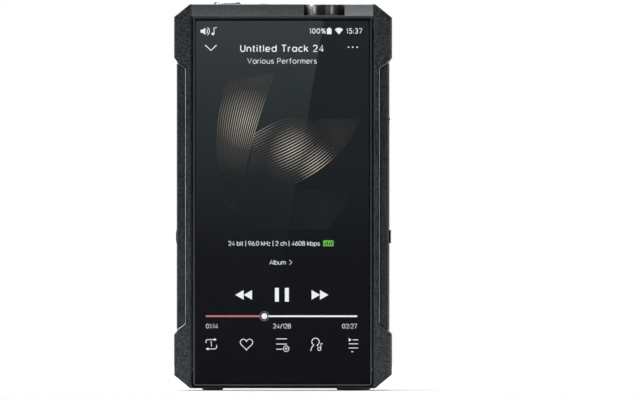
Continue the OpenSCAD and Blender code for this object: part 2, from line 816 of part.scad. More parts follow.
module function_button() {
  color(black) mirror([1, 0, 0]) intersection() {
    key_body(low_key_z, low_key_long, low_key_wide, rail_x + 0.75);
    union() {
      // crowned cap
      translate([rail_x + 0.75 - 18, key_y - 10, low_key_z]) rotate([-90, 0, 0]) cylinder(r = 18, h = 20, $fn = 360);
      box([wall_in - 1, key_y - 10, low_key_z - 5], [rail_x - 2, key_y + 10, low_key_z + 5]);
    }
  }
}

module power_button() {
  color(satin) {
    pin_z([power_x, balanced_y, z1 - 1.8], 1.93, 1.8 + 0.22);
    pin_z([power_x, balanced_y, z1 - 2.4], 2.5, 0.6 + eps);
    pin_z([power_x, balanced_y, floor_top - 1.2], 0.9, z1 - 2.4 - floor_top + 1.2 + eps);
  }
}

// Touch strip on the left, with a rib at its middle to feel for
module touch_strip() {
  color(dark) mirror([1, 0, 0]) {
    translate([rail_x - 0.6, key_y, key_mid_z]) rotate([90, 0, 90])
      linear_extrude(height = 0.6) round_rect(strip_wide, strip_long, 1.95);
    intersection() {
      translate([rail_x + 0.2 - 1.4, key_y - 2.6, key_mid_z]) rotate([-90, 0, 0]) cylinder(r = 1.4, h = 5.2);
      box([rail_x - eps, -10, key_mid_z - 5], [rail_x + 2, 10, key_mid_z + 5]);
    }
  }
}

module hold_slider() {
  color(dark) {
    difference() {
      box([rail_x - 0.8, key_y - low_key_wide / 2, low_key_z - low_key_long / 2],
          [rail_x + 0.9, key_y + low_key_wide / 2, low_key_z + low_key_long / 2]);
      for (i = [-2 : 2])
        box([rail_x + 0.65, key_y - 5, low_key_z + i * 0.9 - 0.2], [rail_x + 1.2, key_y + 5, low_key_z + i * 0.9 + 0.2]);
    }
    box([wall_in + 0.1, key_y - 1, low_key_z - 1], [rail_x - 0.8 + eps, key_y + 1, low_key_z + 1]);
  }
}

// Switches behind the keys, on the inside of each side wall, and the power switch
module side_switches() {
  top = wall_in - 0.25;
  color("#8d9094") {
    for (z = concat(key_heights, [low_key_z])) box([top - 2, key_y - 2.2, z - 2], [top, key_y + 2.2, z + 2]);
    box([top - 2.4, key_y - 2.4, low_key_z - 4], [top - 2, key_y + 2.4, key_mid_z + 11]);
    mirror([1, 0, 0]) {
      box([top - 2, key_y - 2.2, low_key_z - 2], [top, key_y + 2.2, low_key_z + 2]);
      box([top - 2.4, key_y - 2.4, low_key_z - 5], [top - 2, key_y + 2.4, low_key_z + 30]);
    }
    box([power_x - 2.2, balanced_y - 2.2, floor_top - 3.5], [power_x + 2.2, balanced_y + 2.2, floor_top - 1.6]);
  }
}

// ---------- memory card ----------

card_in = rail_x - 24;

module card_socket() {
  color(steel) difference() {
    box([card_in - 1.5, shield_y, card_z - 6.6], [wall_in - 6.5, shield_y + 2, card_z + 6.6]);
    box([card_in - 0.5, shield_y + 0.2, card_z - 6], [wall_in, shield_y + 1.7, card_z + 6]);
  }
}

module card_tray() {
  color(black) {
    difference() {
      translate([rail_x - 1.4, tray_y, tray_z]) rotate([90, 0, 90])
        linear_extrude(height = 1.4) round_rect(tray_wide, tray_long, 0.9);
      pin_x([rail_x - 2, tray_y, tray_z - tray_long / 2 + 2.2], 0.5, 5);
    }
    difference() {
      box([card_in, tray_y - 0.6, card_z - 5.9], [rail_x - 1.4 + eps, tray_y + 0.6, card_z + 5.9]);
      box([card_in + 0.9, tray_y - 0.1, card_z - 5.2], [card_in + 16.6, tray_y + 1, card_z + 5.2]);
    }
  }
}

module memory_card() {
  color("#22252b") box([card_in + 1.1, tray_y - 0.1, card_z - 5.1], [card_in + 16.1, tray_y + 0.6, card_z + 5.1]);
}

side_frame_left();
side_frame_right();
side_rail_left();
side_rail_right();
rail_trim_left();
rail_trim_right();
top_bar();
bottom_bar();
chassis_plate();
rear_cover();
rear_inlay();
vent_mesh();
antenna_window();
rear_pads();
rear_screws();
chassis_screws();
rail_screws();
board_screws();
board_posts();
cover_glass();
display_gasket();
display_panel();
display_flex();
main_board();
processor_shield();
audio_shields();
heat_spreader();
heatsink();
battery_pack();
battery_lead();
output_board();
output_flex();
filter_capacitors();
large_jack();
large_jack_collar();
large_jack_contacts();
small_jack();
small_jack_collar();
balanced_jack();
balanced_jack_collar();
usb_port_left();
usb_port_right();
card_socket();
encoder();
encoder_board();
wheel_light_ring();
volume_wheel();
wheel_shaft();
power_button();
function_button();
next_key();
play_key();
previous_key();
touch_strip();
hold_slider();
side_switches();
card_tray();
memory_card();
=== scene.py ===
import math

import bmesh
import bpy
from mathutils import Matrix, Vector


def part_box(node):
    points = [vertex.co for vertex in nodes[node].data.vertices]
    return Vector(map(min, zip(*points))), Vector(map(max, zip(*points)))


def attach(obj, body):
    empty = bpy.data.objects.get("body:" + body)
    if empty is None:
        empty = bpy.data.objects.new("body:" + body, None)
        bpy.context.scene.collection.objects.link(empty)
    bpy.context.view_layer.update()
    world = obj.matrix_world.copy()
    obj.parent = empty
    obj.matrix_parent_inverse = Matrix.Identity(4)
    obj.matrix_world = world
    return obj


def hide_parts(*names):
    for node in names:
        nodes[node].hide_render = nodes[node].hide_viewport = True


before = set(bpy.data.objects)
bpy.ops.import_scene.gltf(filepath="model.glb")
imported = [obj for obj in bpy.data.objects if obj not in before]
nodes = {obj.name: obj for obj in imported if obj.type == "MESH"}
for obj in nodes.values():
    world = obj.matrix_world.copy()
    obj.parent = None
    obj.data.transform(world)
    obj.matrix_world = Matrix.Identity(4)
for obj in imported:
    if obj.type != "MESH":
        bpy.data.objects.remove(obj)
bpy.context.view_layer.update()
mm = 0.001


# materials: grain scales are per metre, reliefs and roundings in millimetres

def addNode(tree, kind, **values):
    node = tree.nodes.new(kind)
    for key, value in values.items():
        setattr(node, key, value)
    return node


def setInputs(node, **values):
    for key, value in values.items():
        node.inputs[key.replace("_", " ")].default_value = value
    return node


def startMaterial(name):
    material = bpy.data.materials.new(name)
    material.use_nodes = True
    tree = material.node_tree
    return material, tree, tree.nodes["Principled BSDF"]


def placed(tree, scale=(1, 1, 1), turn=(0, 0, 0), centre=(0, 0, 0)):
    # object coordinates, moved to centre, turned and stretched
    coords = addNode(tree, "ShaderNodeTexCoord")
    mapping = addNode(tree, "ShaderNodeMapping", vector_type="POINT")
    mapping.inputs["Location"].default_value = [-c * s for c, s in zip(centre, scale)]
    mapping.inputs["Rotation"].default_value = turn
    mapping.inputs["Scale"].default_value = scale
    tree.links.new(coords.outputs["Object"], mapping.inputs["Vector"])
    return mapping.outputs["Vector"]


def noise(tree, vector, scale, detail=3.0, rough=0.55):
    node = addNode(tree, "ShaderNodeTexNoise")
    setInputs(node, Scale=scale, Detail=detail, Roughness=rough)
    tree.links.new(vector, node.inputs["Vector"])
    return node.outputs["Fac"]


def ramp(tree, factor, stops):
    node = addNode(tree, "ShaderNodeValToRGB")
    while len(node.color_ramp.elements) < len(stops):
        node.color_ramp.elements.new(0.5)
    for element, (place, colour) in zip(node.color_ramp.elements, stops):
        element.position = place
        element.color = (*colour, 1) if len(colour) == 3 else colour
    tree.links.new(factor, node.inputs["Fac"])
    return node.outputs["Color"]


def grey(value):
    return (value, value, value)


def spread(tree, factor, low, high, start=0.0, end=1.0):
    node = addNode(tree, "ShaderNodeMapRange")
    node.inputs["From Min"].default_value = start
    node.inputs["From Max"].default_value = end
    node.inputs["To Min"].default_value = low
    node.inputs["To Max"].default_value = high
    tree.links.new(factor, node.inputs["Value"])
    return node.outputs["Result"]


def mixed(tree, factor, first, second, blend="MIX"):
    node = addNode(tree, "ShaderNodeMix", data_type="RGBA", blend_type=blend)
    for key, value in (("Factor", factor), ("A", first), ("B", second)):
        socket = node.inputs[key]
        if isinstance(value, bpy.types.NodeSocket):
            tree.links.new(value, socket)
        elif isinstance(value, (int, float)):
            socket.default_value = value
        else:
            socket.default_value = (*value, 1)
    return node.outputs["Result"]


def maths(tree, operation, *values):
    node = addNode(tree, "ShaderNodeMath", operation=operation)
    for socket, value in zip(node.inputs, values):
        if isinstance(value, bpy.types.NodeSocket):
            tree.links.new(value, socket)
        else:
            socket.default_value = value
    return node.outputs[0]


def separated(tree, vector):
    parts = addNode(tree, "ShaderNodeSeparateXYZ")
    tree.links.new(vector, parts.inputs[0])
    return parts.outputs


def distanceFrom(tree, vector):
    node = addNode(tree, "ShaderNodeVectorMath", operation="LENGTH")
    tree.links.new(vector, node.inputs[0])
    return node.outputs["Value"]


def roundedNormal(tree, radius):
    bevel = addNode(tree, "ShaderNodeBevel", samples=4)
    bevel.inputs["Radius"].default_value = radius
    return bevel.outputs["Normal"]


def edgeMask(tree, normal, reach):
    # 1 on an edge, 0 on a flat
    plain = addNode(tree, "ShaderNodeNewGeometry")
    dot = addNode(tree, "ShaderNodeVectorMath", operation="DOT_PRODUCT")
    tree.links.new(normal, dot.inputs[0])
    tree.links.new(plain.outputs["Normal"], dot.inputs[1])
    return spread(tree, dot.outputs["Value"], 1.0, 0.0, 1.0 - reach, 1.0)


def bumped(tree, shader, height, depth, normal=None):
    bump = addNode(tree, "ShaderNodeBump")
    setInputs(bump, Strength=1.0, Distance=depth)
    tree.links.new(height, bump.inputs["Height"])
    if normal:
        tree.links.new(normal, bump.inputs["Normal"])
    tree.links.new(bump.outputs["Normal"], shader.inputs["Normal"])


def finishedMetal(name, look):
    # coat, steel or plastic: grain in colour, roughness and relief, and a lighter colour along the edges
    # that is partly wear and partly a painted highlight
    material, tree, shader = startMaterial(name)
    setInputs(shader, Metallic=look.get("metal", 0.0))
    shader.inputs["Specular IOR Level"].default_value = look.get("specular", 0.5)
    shader.inputs["Coat Weight"].default_value = look.get("coat", 0.0)
    shader.inputs["Coat Roughness"].default_value = look.get("coatRough", 0.15)
    vector = placed(tree, look.get("stretch", (1, 1, 1)))
    grain = noise(tree, vector, look["grain"], look.get("octaves", 2.0), look.get("crisp", 0.6))
    clouds = noise(tree, placed(tree), look.get("clouds", 55), 4.0)
    low, high = look.get("low", 0.38), look.get("high", 0.66)
    fleck = ramp(tree, grain, [(low, look["dark"]), (high, look["light"])])
    blotches = spread(tree, clouds, 0.0, look.get("blotch", 0.25), 0.35, 0.7)
    tint = mixed(tree, blotches, fleck, look["light"])
    normal = roundedNormal(tree, look.get("round", 0.25) * mm)
    # partly rubbed wear, partly a painted highlight: edges painted lighter where their chamfers would catch
    # the light
    if "wearAndEdgeHighlight" in look:
        rubbed = spread(tree, noise(tree, placed(tree), 420, 4.0), 0.25, 1.0, 0.35, 0.62)
        mask = maths(tree, "MULTIPLY", edgeMask(tree, normal, 0.22), rubbed)
        mask = maths(tree, "MULTIPLY", mask, look.get("wearAndEdgeHighlightAmount", 0.6))
        tint = mixed(tree, mask, tint, look["wearAndEdgeHighlight"])
    tree.links.new(tint, shader.inputs["Base Color"])
    low, high = look["rough"]
    wander = maths(tree, "ADD", maths(tree, "MULTIPLY", grain, 0.6), maths(tree, "MULTIPLY", clouds, 0.4))
    tree.links.new(spread(tree, wander, low, high, 0.35, 0.65), shader.inputs["Roughness"])
    bumped(tree, shader, grain, look.get("relief", 0.02) * mm, normal)
    return material


def barMetalWithPaintedLight(name, look):
    # fine blasted metal with painted light: painted shade darkens it towards its top, a painted highlight
    # brightens it right of the wheel, and a painted reflection lines its lower edge
    material = finishedMetal(name, look)
    tree = material.node_tree
    shader = tree.nodes["Principled BSDF"]
    parts = separated(tree, placed(tree))
    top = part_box("top_bar")[1].z
    # painted shade: darker towards the top, lighter towards the lower edge
    fade = spread(tree, parts[2], 1.0, look["fade"], top - look["paintedShadeFrom"] * mm, top)
    # painted highlight: right of the wheel the colour is swapped for a brighter one, smooth; the roughness
    # stays as elsewhere
    polished = spread(tree, parts[0], 0.0, 1.0, *[x * mm for x in look["paintedSheenFrom"]])
    colour = shader.inputs["Base Color"].links[0].from_socket
    smooth = mixed(tree, noise(tree, placed(tree), 180), *look["polished"])
    shaded = mixed(tree, 1.0, mixed(tree, polished, colour, smooth), fade, "MULTIPLY")
    # painted reflection: a bright line painted along the bar's lower edge
    cut = spread(tree, parts[2], 1.0, 0.0, *[top - below * mm for below in look["cutBelow"]])
    tree.links.new(mixed(tree, cut, shaded, look["cut"]), shader.inputs["Base Color"])
    return material


def dress(material, *names):
    for name in names:
        slots = nodes[name].data.materials
        slots.clear()
        slots.append(material)


caseCoat = {
    "dark": (0.001, 0.002, 0.003), "light": (0.061, 0.071, 0.079), "low": 0.44, "high": 0.57,
    "grain": 1600, "octaves": 4.0, "crisp": 0.7, "relief": 0.28, "rough": (0.32, 0.60), "specular": 0.4,
    # wear and painted highlight: a lighter colour along the edges, where the chamfers would catch the light
    "wearAndEdgeHighlight": (0.15, 0.16, 0.17), "wearAndEdgeHighlightAmount": 0.5,
}
dress(finishedMetal("caseCoat", caseCoat), "side_frame_left", "side_frame_right")
# painted shade: the bottom bar is the case's own coat, painted darker as if its lip lay in shadow
paintedShadeLipCoat = dict(caseCoat, dark=(0.001, 0.001, 0.001), light=(0.012, 0.013, 0.014), wearAndEdgeHighlightAmount=0.1)
dress(finishedMetal("paintedShadeLipCoat", paintedShadeLipCoat), "bottom_bar")
railCoat = dict(caseCoat, dark=(0.006, 0.007, 0.008), light=(0.051, 0.059, 0.065), grain=1900, relief=0.2)
dress(finishedMetal("railCoat", railCoat), "side_rail_left", "side_rail_right", "card_tray")
dress(finishedMetal("coverCoat", dict(caseCoat, clouds=40, blotch=0.4)), "rear_cover")

barMetal = {
    "dark": (0.142, 0.156, 0.165), "light": (0.236, 0.253, 0.264), "grain": 2400, "metal": 0.35,
    "rough": (0.38, 0.50), "relief": 0.10, "wearAndEdgeHighlight": (0.30, 0.31, 0.32), "wearAndEdgeHighlightAmount": 0.5, "round": 0.12,
    "fade": 0.62, "paintedShadeFrom": 5.0,  # painted shade: millimetres under the bar's top over which the colour darkens to the fade factor
    # painted highlight: brighter colours right of the wheel, and where they begin across, in millimetres
    "polished": ((0.44, 0.465, 0.485), (0.53, 0.555, 0.575)), "paintedSheenFrom": (24.5, 25.5),
    "cut": (0.36, 0.38, 0.39), "cutBelow": (4.8, 4.7),  # painted reflection: a bright line along the lower edge, as if its chamfer mirrored the floor
}
dress(barMetalWithPaintedLight("barMetal", barMetal), "top_bar")
trimMetal = {
    "dark": (0.15, 0.16, 0.17), "light": (0.22, 0.23, 0.24), "grain": 1600, "stretch": (1, 1, 0.08),
    "metal": 1.0, "rough": (0.20, 0.32), "relief": 0.002, "round": 0.08,
}
trimFinish = finishedMetal("trimMetal", trimMetal)
keyMetal = dict(
    caseCoat, dark=(0.012, 0.013, 0.015), light=(0.022, 0.024, 0.027), grain=3400, relief=0.006,
    rough=(0.22, 0.34), wearAndEdgeHighlight=(0.16, 0.165, 0.17), wearAndEdgeHighlightAmount=0.7)
dress(finishedMetal("keyMetal", keyMetal), "next_key", "play_key", "previous_key")
darkKey = dict(
    keyMetal, dark=(0.002, 0.002, 0.002), light=(0.006, 0.006, 0.007), wearAndEdgeHighlight=(0.04, 0.04, 0.045),
    wearAndEdgeHighlightAmount=0.4, specular=0.25)
dress(finishedMetal("darkKeyMetal", darkKey), "function_button", "hold_slider")
dress(finishedMetal("powerCap", dict(barMetal, grain=2600)), "power_button")
stripPlastic = {
    "dark": (0.008, 0.009, 0.010), "light": (0.014, 0.015, 0.016), "grain": 1800, "rough": (0.10, 0.2),
    "relief": 0.001, "coat": 0.6, "wearAndEdgeHighlight": (0.05, 0.05, 0.05), "wearAndEdgeHighlightAmount": 0.3,
}
dress(finishedMetal("stripPlastic", stripPlastic), "touch_strip")

blackPlastic = {
    "dark": (0.010, 0.010, 0.011), "light": (0.020, 0.020, 0.021), "grain": 3000, "rough": (0.38, 0.55),
    "relief": 0.008,
}
dress(finishedMetal("jackPlastic", blackPlastic), "large_jack", "small_jack", "balanced_jack", "encoder")
dress(finishedMetal("windowPlastic", dict(blackPlastic, grain=1600, rough=(0.5, 0.65))), "antenna_window")
foam = dict(
    blackPlastic, dark=(0.001, 0.001, 0.001), light=(0.004, 0.004, 0.004), rough=(0.85, 0.98), specular=0.1)
dress(finishedMetal("gasketFoam", foam), "display_gasket")
padRubber = dict(
    blackPlastic, dark=(0.009, 0.009, 0.009), light=(0.026, 0.026, 0.026), rough=(0.7, 0.9), grain=1300,
    relief=0.03, wearAndEdgeHighlight=(0.05, 0.05, 0.05), wearAndEdgeHighlightAmount=0.5)
dress(finishedMetal("padRubber", padRubber), "rear_pads")

portSteel = {
    "dark": (0.36, 0.37, 0.39), "light": (0.50, 0.51, 0.53), "grain": 1400, "stretch": (1, 1, 0.15),
    "metal": 1.0, "rough": (0.28, 0.42), "relief": 0.003,
}
dress(finishedMetal("portSteel", portSteel), "usb_port_left", "usb_port_right", "card_socket", "wheel_shaft")
shieldTin = dict(portSteel, stretch=(1, 1, 1), rough=(0.35, 0.5))
dress(finishedMetal("shieldTin", shieldTin), "processor_shield", "audio_shields")
screwSteel = dict(
    portSteel, dark=(0.05, 0.05, 0.055), light=(0.10, 0.10, 0.11), wearAndEdgeHighlight=(0.4, 0.4, 0.4), wearAndEdgeHighlightAmount=0.5)
dress(
    finishedMetal("screwSteel", screwSteel), "rear_screws", "chassis_screws", "rail_screws", "board_screws")
milled = dict(
    portSteel, dark=(0.40, 0.41, 0.43), light=(0.55, 0.56, 0.58), stretch=(0.1, 1, 1), rough=(0.3, 0.45))
dress(finishedMetal("milledAluminium", milled), "chassis_plate", "board_posts")
heatsinkMetal = dict(milled, dark=(0.22, 0.23, 0.24), light=(0.34, 0.35, 0.37))
dress(finishedMetal("heatsinkMetal", heatsinkMetal), "heatsink")
copper = dict(milled, dark=(0.55, 0.24, 0.13), light=(0.72, 0.36, 0.22), blotch=0.5)
dress(finishedMetal("rolledCopper", copper), "heat_spreader")
gold = dict(portSteel, dark=(0.72, 0.50, 0.20), light=(0.88, 0.64, 0.30), rough=(0.2, 0.3))
dress(finishedMetal("contactGold", gold), "large_jack_contacts")
flexFilm = dict(blackPlastic, dark=(0.30, 0.14, 0.03), light=(0.42, 0.21, 0.05), rough=(0.25, 0.4))
dress(finishedMetal("flexFilm", flexFilm), "display_flex", "output_flex")
sleeve = dict(blackPlastic, dark=(0.05, 0.06, 0.09), light=(0.08, 0.09, 0.13), rough=(0.25, 0.4), coat=0.3)
dress(finishedMetal("capacitorSleeve", sleeve), "filter_capacitors")
dress(finishedMetal("batteryWrap", dict(sleeve, grain=500, relief=0.05)), "battery_pack")
lead = dict(blackPlastic, dark=(0.34, 0.05, 0.04), light=(0.44, 0.08, 0.06))
dress(finishedMetal("leadPlastic", lead), "battery_lead")
switchPlastic = dict(blackPlastic, dark=(0.16, 0.16, 0.17), light=(0.24, 0.24, 0.25))
dress(finishedMetal("switchPlastic", switchPlastic), "side_switches")
dress(finishedMetal("cardPlastic", dict(blackPlastic, grain=2000)), "memory_card")
diffuser = dict(blackPlastic, dark=(0.45, 0.47, 0.49), light=(0.6, 0.62, 0.64))
dress(finishedMetal("ringDiffuser", diffuser), "wheel_light_ring")

boardMask = {
    "fields": ((0.010, 0.075, 0.045), (0.013, 0.095, 0.055)), "tracks": (0.03, 0.17, 0.09),
    "dust": (0.02, 0.12, 0.07), "scale": 160,
}
inlayLeather = {
    "creases": (0.004, 0.004, 0.005), "pebbles": (0.020, 0.021, 0.023), "worn": (0.028, 0.029, 0.031),
    "scale": 1150, "relief": 0.08,
}
ventMesh = {"holes": 0.004, "steel": 0.16, "scale": 1000, "relief": 0.1}


def boardMaterial():
    # solder mask over copper tracks
    material, tree, shader = startMaterial("boardLaminate")
    tracks = addNode(tree, "ShaderNodeTexBrick", offset=0.5)
    setInputs(tracks, Scale=boardMask["scale"], Mortar_Size=0.06)
    for key, colour in zip(("Color1", "Color2", "Mortar"), (*boardMask["fields"], boardMask["tracks"])):
        tracks.inputs[key].default_value = (*colour, 1)
    tree.links.new(placed(tree, turn=(math.pi / 2, 0, 0)), tracks.inputs["Vector"])
    dust = noise(tree, placed(tree), 900)
    colour = mixed(tree, spread(tree, dust, 0, 0.3), tracks.outputs["Color"], boardMask["dust"])
    tree.links.new(colour, shader.inputs["Base Color"])
    tree.links.new(spread(tree, dust, 0.28, 0.42), shader.inputs["Roughness"])
    bumped(tree, shader, tracks.outputs["Fac"], 0.02 * mm)
    return material


def leatherMaterial():
    # pebbled grain for the rear inlay
    material, tree, shader = startMaterial("inlayLeather")
    vector = placed(tree)
    cells = addNode(tree, "ShaderNodeTexVoronoi", feature="DISTANCE_TO_EDGE")
    setInputs(cells, Scale=inlayLeather["scale"], Randomness=0.9)
    tree.links.new(vector, cells.inputs["Vector"])
    creases = spread(tree, cells.outputs["Distance"], 0.0, 1.0, 0.0, 0.22)
    clouds = spread(tree, noise(tree, vector, 90, 4.0), 0, 0.4, 0.3, 0.7)
    pebbles = ramp(tree, creases, [(0.0, inlayLeather["creases"]), (1.0, inlayLeather["pebbles"])])
    tree.links.new(mixed(tree, clouds, pebbles, inlayLeather["worn"]), shader.inputs["Base Color"])
    tree.links.new(spread(tree, creases, 0.75, 0.5), shader.inputs["Roughness"])
    bumped(tree, shader, creases, inlayLeather["relief"] * mm)
    return material


def meshMaterial():
    # etched sheet: rows of fine round holes
    material, tree, shader = startMaterial("meshSteel")
    cells = addNode(tree, "ShaderNodeTexVoronoi", feature="F1")
    setInputs(cells, Scale=ventMesh["scale"], Randomness=0.0)
    tree.links.new(placed(tree), cells.inputs["Vector"])
    sheet = spread(tree, cells.outputs["Distance"], 0.0, 1.0, 0.30, 0.36)
    colour = ramp(tree, sheet, [(0.4, grey(ventMesh["holes"])), (0.6, grey(ventMesh["steel"]))])
    tree.links.new(colour, shader.inputs["Base Color"])
    setInputs(shader, Metallic=0.85)
    tree.links.new(spread(tree, noise(tree, placed(tree), 1800), 0.35, 0.55), shader.inputs["Roughness"])
    bumped(tree, shader, sheet, ventMesh["relief"] * mm)
    return material


dress(boardMaterial(), "main_board", "output_board", "encoder_board")
dress(leatherMaterial(), "rear_inlay")
dress(meshMaterial(), "vent_mesh")
print("materials on the carried-over nodes")


# pieces

def pieceFrom(mesh, name, material, body, *stoodFor):
    piece = bpy.data.objects.new(name, mesh)
    bpy.context.scene.collection.objects.link(piece)
    mesh.materials.clear()
    mesh.materials.append(material)
    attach(piece, body)
    if stoodFor:
        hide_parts(*stoodFor)
    return piece


def meshFrom(bm, name, smooth=False):
    bmesh.ops.remove_doubles(bm, verts=bm.verts, dist=1e-7)
    bmesh.ops.recalc_face_normals(bm, faces=bm.faces)
    mesh = bpy.data.meshes.new(name)
    bm.to_mesh(mesh)
    bm.free()
    for face in mesh.polygons:
        face.use_smooth = smooth
    return mesh


def spunMesh(name, profile, centre, steps, sharp=35):
    # profile is a closed loop of radius and height, in millimetres
    bm = bmesh.new()
    points = [bm.verts.new((r * mm, 0, h * mm)) for r, h in profile]
    edges = [bm.edges.new((points[i], points[(i + 1) % len(points)])) for i in range(len(points))]
    bmesh.ops.spin(
        bm, geom=points + edges, cent=(0, 0, 0), axis=(0, 0, 1), angle=math.tau, steps=steps, use_merge=True)
    bmesh.ops.remove_doubles(bm, verts=bm.verts, dist=1e-7)
    flat = [f for f in bm.faces if f.calc_area() < 1e-13]
    bmesh.ops.delete(bm, geom=flat, context="FACES")
    bmesh.ops.translate(bm, verts=bm.verts, vec=centre)
    mesh = meshFrom(bm, name, smooth=True)
    mesh.set_sharp_from_angle(angle=math.radians(sharp))
    return mesh


def turnedMaterial(name, look, centre):
    # turned metal: fine rings about the piece's own axis, and painted highlights in bands fanning out from
    # it
    material, tree, shader = startMaterial(name)
    vector = placed(tree, centre=centre)
    x, y, z = separated(tree, vector)
    squares = maths(tree, "ADD", maths(tree, "MULTIPLY", x, x), maths(tree, "MULTIPLY", y, y))
    rings = addNode(tree, "ShaderNodeCombineXYZ")
    tree.links.new(maths(tree, "SQRT", squares), rings.inputs[0])
    tree.links.new(z, rings.inputs[1])
    lines = noise(tree, rings.outputs[0], look["lines"], 2.0)
    smudge = noise(tree, vector, 260, 4.0)
    tint = ramp(tree, lines, [(0.35, look["dark"]), (0.65, look["light"])])
    if "paintedHighlightBands" in look:
        # painted highlights: a band's place is an angle: -90 at the left, 0 at the front and the back, 90 at
        # the right
        angle = maths(tree, "ARCTAN2", x, maths(tree, "ABSOLUTE", y))
        paintedHighlightFan = ramp(tree, spread(tree, angle, 0.0, 1.0, -math.pi / 2, math.pi / 2),
                   [(0.5 + turn / 180, grey(value)) for turn, value in look["paintedHighlightBands"]])
        tint = mixed(tree, 1.0, tint, paintedHighlightFan, "MULTIPLY")
    tree.links.new(tint, shader.inputs["Base Color"])
    wander = maths(tree, "ADD", maths(tree, "MULTIPLY", lines, 0.5), maths(tree, "MULTIPLY", smudge, 0.5))
    tree.links.new(spread(tree, wander, *look["rough"], 0.35, 0.65), shader.inputs["Roughness"])
    setInputs(shader, Metallic=look.get("metal", 1.0))
    bumped(tree, shader, lines, look["relief"] * mm)
    return material


wheel = {
    "dark": (0.62, 0.63, 0.64), "light": (0.80, 0.81, 0.82), "lines": 9000, "rough": (0.20, 0.28),
    "relief": 0.0002, "metal": 0.35, "steps": 160,
    # painted highlights: bright bands where the knob would mirror the softboxes, as angle and brightness
    "paintedHighlightBands": [(-90, 0.03), (-64, 0.25), (-56, 0.65), (-42, 1.0), (-37, 0.6), (-32, 0.30), (-20, 0.05),
              (2, 0.06), (8, 0.3), (14, 0.22), (21, 0.25), (28, 0.35), (35, 0.06), (48, 0.01), (90, 0.03)],
}


def buildWheel():
    # recessed underneath for its shaft, with a shallow turned face
    low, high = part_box("volume_wheel")
    centre = Vector(((low.x + high.x) / 2, (low.y + high.y) / 2, low.z))
    r, h = (high.x - low.x) / 2 / mm, (high.z - low.z) / mm
    profile = [
        (0, 0.9), (1.6, 0.9), (1.6, 0.05), (r - 0.12, 0), (r - 0.04, 0.04), (r, 0.12), (r, h - 0.25),
        (r - 0.06, h - 0.10), (r - 0.2, h - 0.02), (r - 0.4, h), (r - 1.5, h), (r - 1.7, h - 0.06),
        (r - 1.85, h - 0.3), (r - 2.1, h - 0.3), (r - 2.3, h - 0.16), (r - 2.6, h - 0.12), (0, h - 0.22),
    ]
    mesh = spunMesh("wheelRim", profile, centre, wheel["steps"])
    pieceFrom(mesh, "wheelRim", turnedMaterial("wheelMetalWithPaintedHighlights", wheel, centre), "wheel", "volume_wheel")


collar = {
    "dark": (0.30, 0.31, 0.32), "light": (0.46, 0.47, 0.48), "lines": 7000, "rough": (0.04, 0.10),
    "relief": 0.0005, "steps": 96, "notchEvery": 4, "notchDeep": 0.25, "notchReach": 0.6,
}


def buildCollar(node, name, inner):
    # turned collar nut: rounded rim, a shallow dish and notches in the outer edge to grip it by
    low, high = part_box(node)
    side = 1 if low.z > 50 * mm else -1  # the top one stands up, the two below hang down
    outer = (high.x - low.x) / 2 / mm
    tall = (high.z - low.z) / mm
    centre = Vector(((low.x + high.x) / 2, (low.y + high.y) / 2, low.z if side > 0 else high.z))
    profile = [
        (inner, 0), (outer - 0.05, 0), (outer, 0.05), (outer, tall * 0.40), (outer - 0.08, tall * 0.56),
        (outer - 0.3, tall * 0.84), (outer - 0.5, tall), (outer - 0.75, tall), (outer - 0.95, tall * 0.8),
        (inner + 0.25, tall * 0.72), (inner + 0.1, tall * 0.9), (inner, tall * 0.9),
    ]
    mesh = spunMesh(name, [(r, h * side) for r, h in profile], centre, collar["steps"])
    for vert in mesh.vertices:
        away = Vector((vert.co.x - centre.x, vert.co.y - centre.y, 0))
        step = round(math.atan2(away.y, away.x) / math.tau * collar["steps"])
        if step % collar["notchEvery"] == 0 and away.length > (outer - collar["notchReach"]) * mm:
            vert.co -= away.normalized() * collar["notchDeep"] * mm
    pieceFrom(mesh, name, turnedMaterial(name + "Metal", collar, centre), "case", node)


trim = {"cut": 0.19, "shortest": 2.0}


def buildTrim(node, name):
    # the trim with both of its long front and rear edges cut bright
    bm = bmesh.new()
    bm.from_mesh(nodes[node].data)
    bm.transform(nodes[node].matrix_world)
    bmesh.ops.remove_doubles(bm, verts=bm.verts, dist=1e-6)
    bmesh.ops.dissolve_limit(bm, angle_limit=math.radians(1), verts=bm.verts, edges=bm.edges)
    faces = [corner.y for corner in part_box(node)]
    rims = [e for e in bm.edges if e.calc_length() > trim["shortest"] * mm
            and any(all(abs(v.co.y - y) < 1e-5 for v in e.verts) for y in faces)]
    bmesh.ops.bevel(
        bm, geom=rims, offset=trim["cut"] * mm, affect="EDGES", segments=1, profile=0.5, material=-1)
    pieceFrom(meshFrom(bm, name), name, trimFinish, "case", node)


buildTrim("rail_trim_left", "leftTrim")
buildTrim("rail_trim_right", "rightTrim")
buildWheel()
buildCollar("balanced_jack_collar", "balancedCollar", inner=3.92)
buildCollar("large_jack_collar", "largeCollar", inner=5.52)
buildCollar("small_jack_collar", "smallCollar", inner=3.02)
print("wheel and collars")


# screen

screen = {
    "glassBack": -13.42, "glyphFront": -13.34, "glyphDeep": 0.05, "strokeFlat": 0.3,
    "aside": 0.35, "base": 0.9,  # where the drawing's origin is on the case
    "white": (0.95, 0.96, 0.96), "dim": (0.78, 0.80, 0.81), "played": (0.58, 0.20, 0.22),
    "badge": (0.14, 0.52, 0.07), "shade": (0.16, 0.16, 0.165), "sheen": 0.05,
}

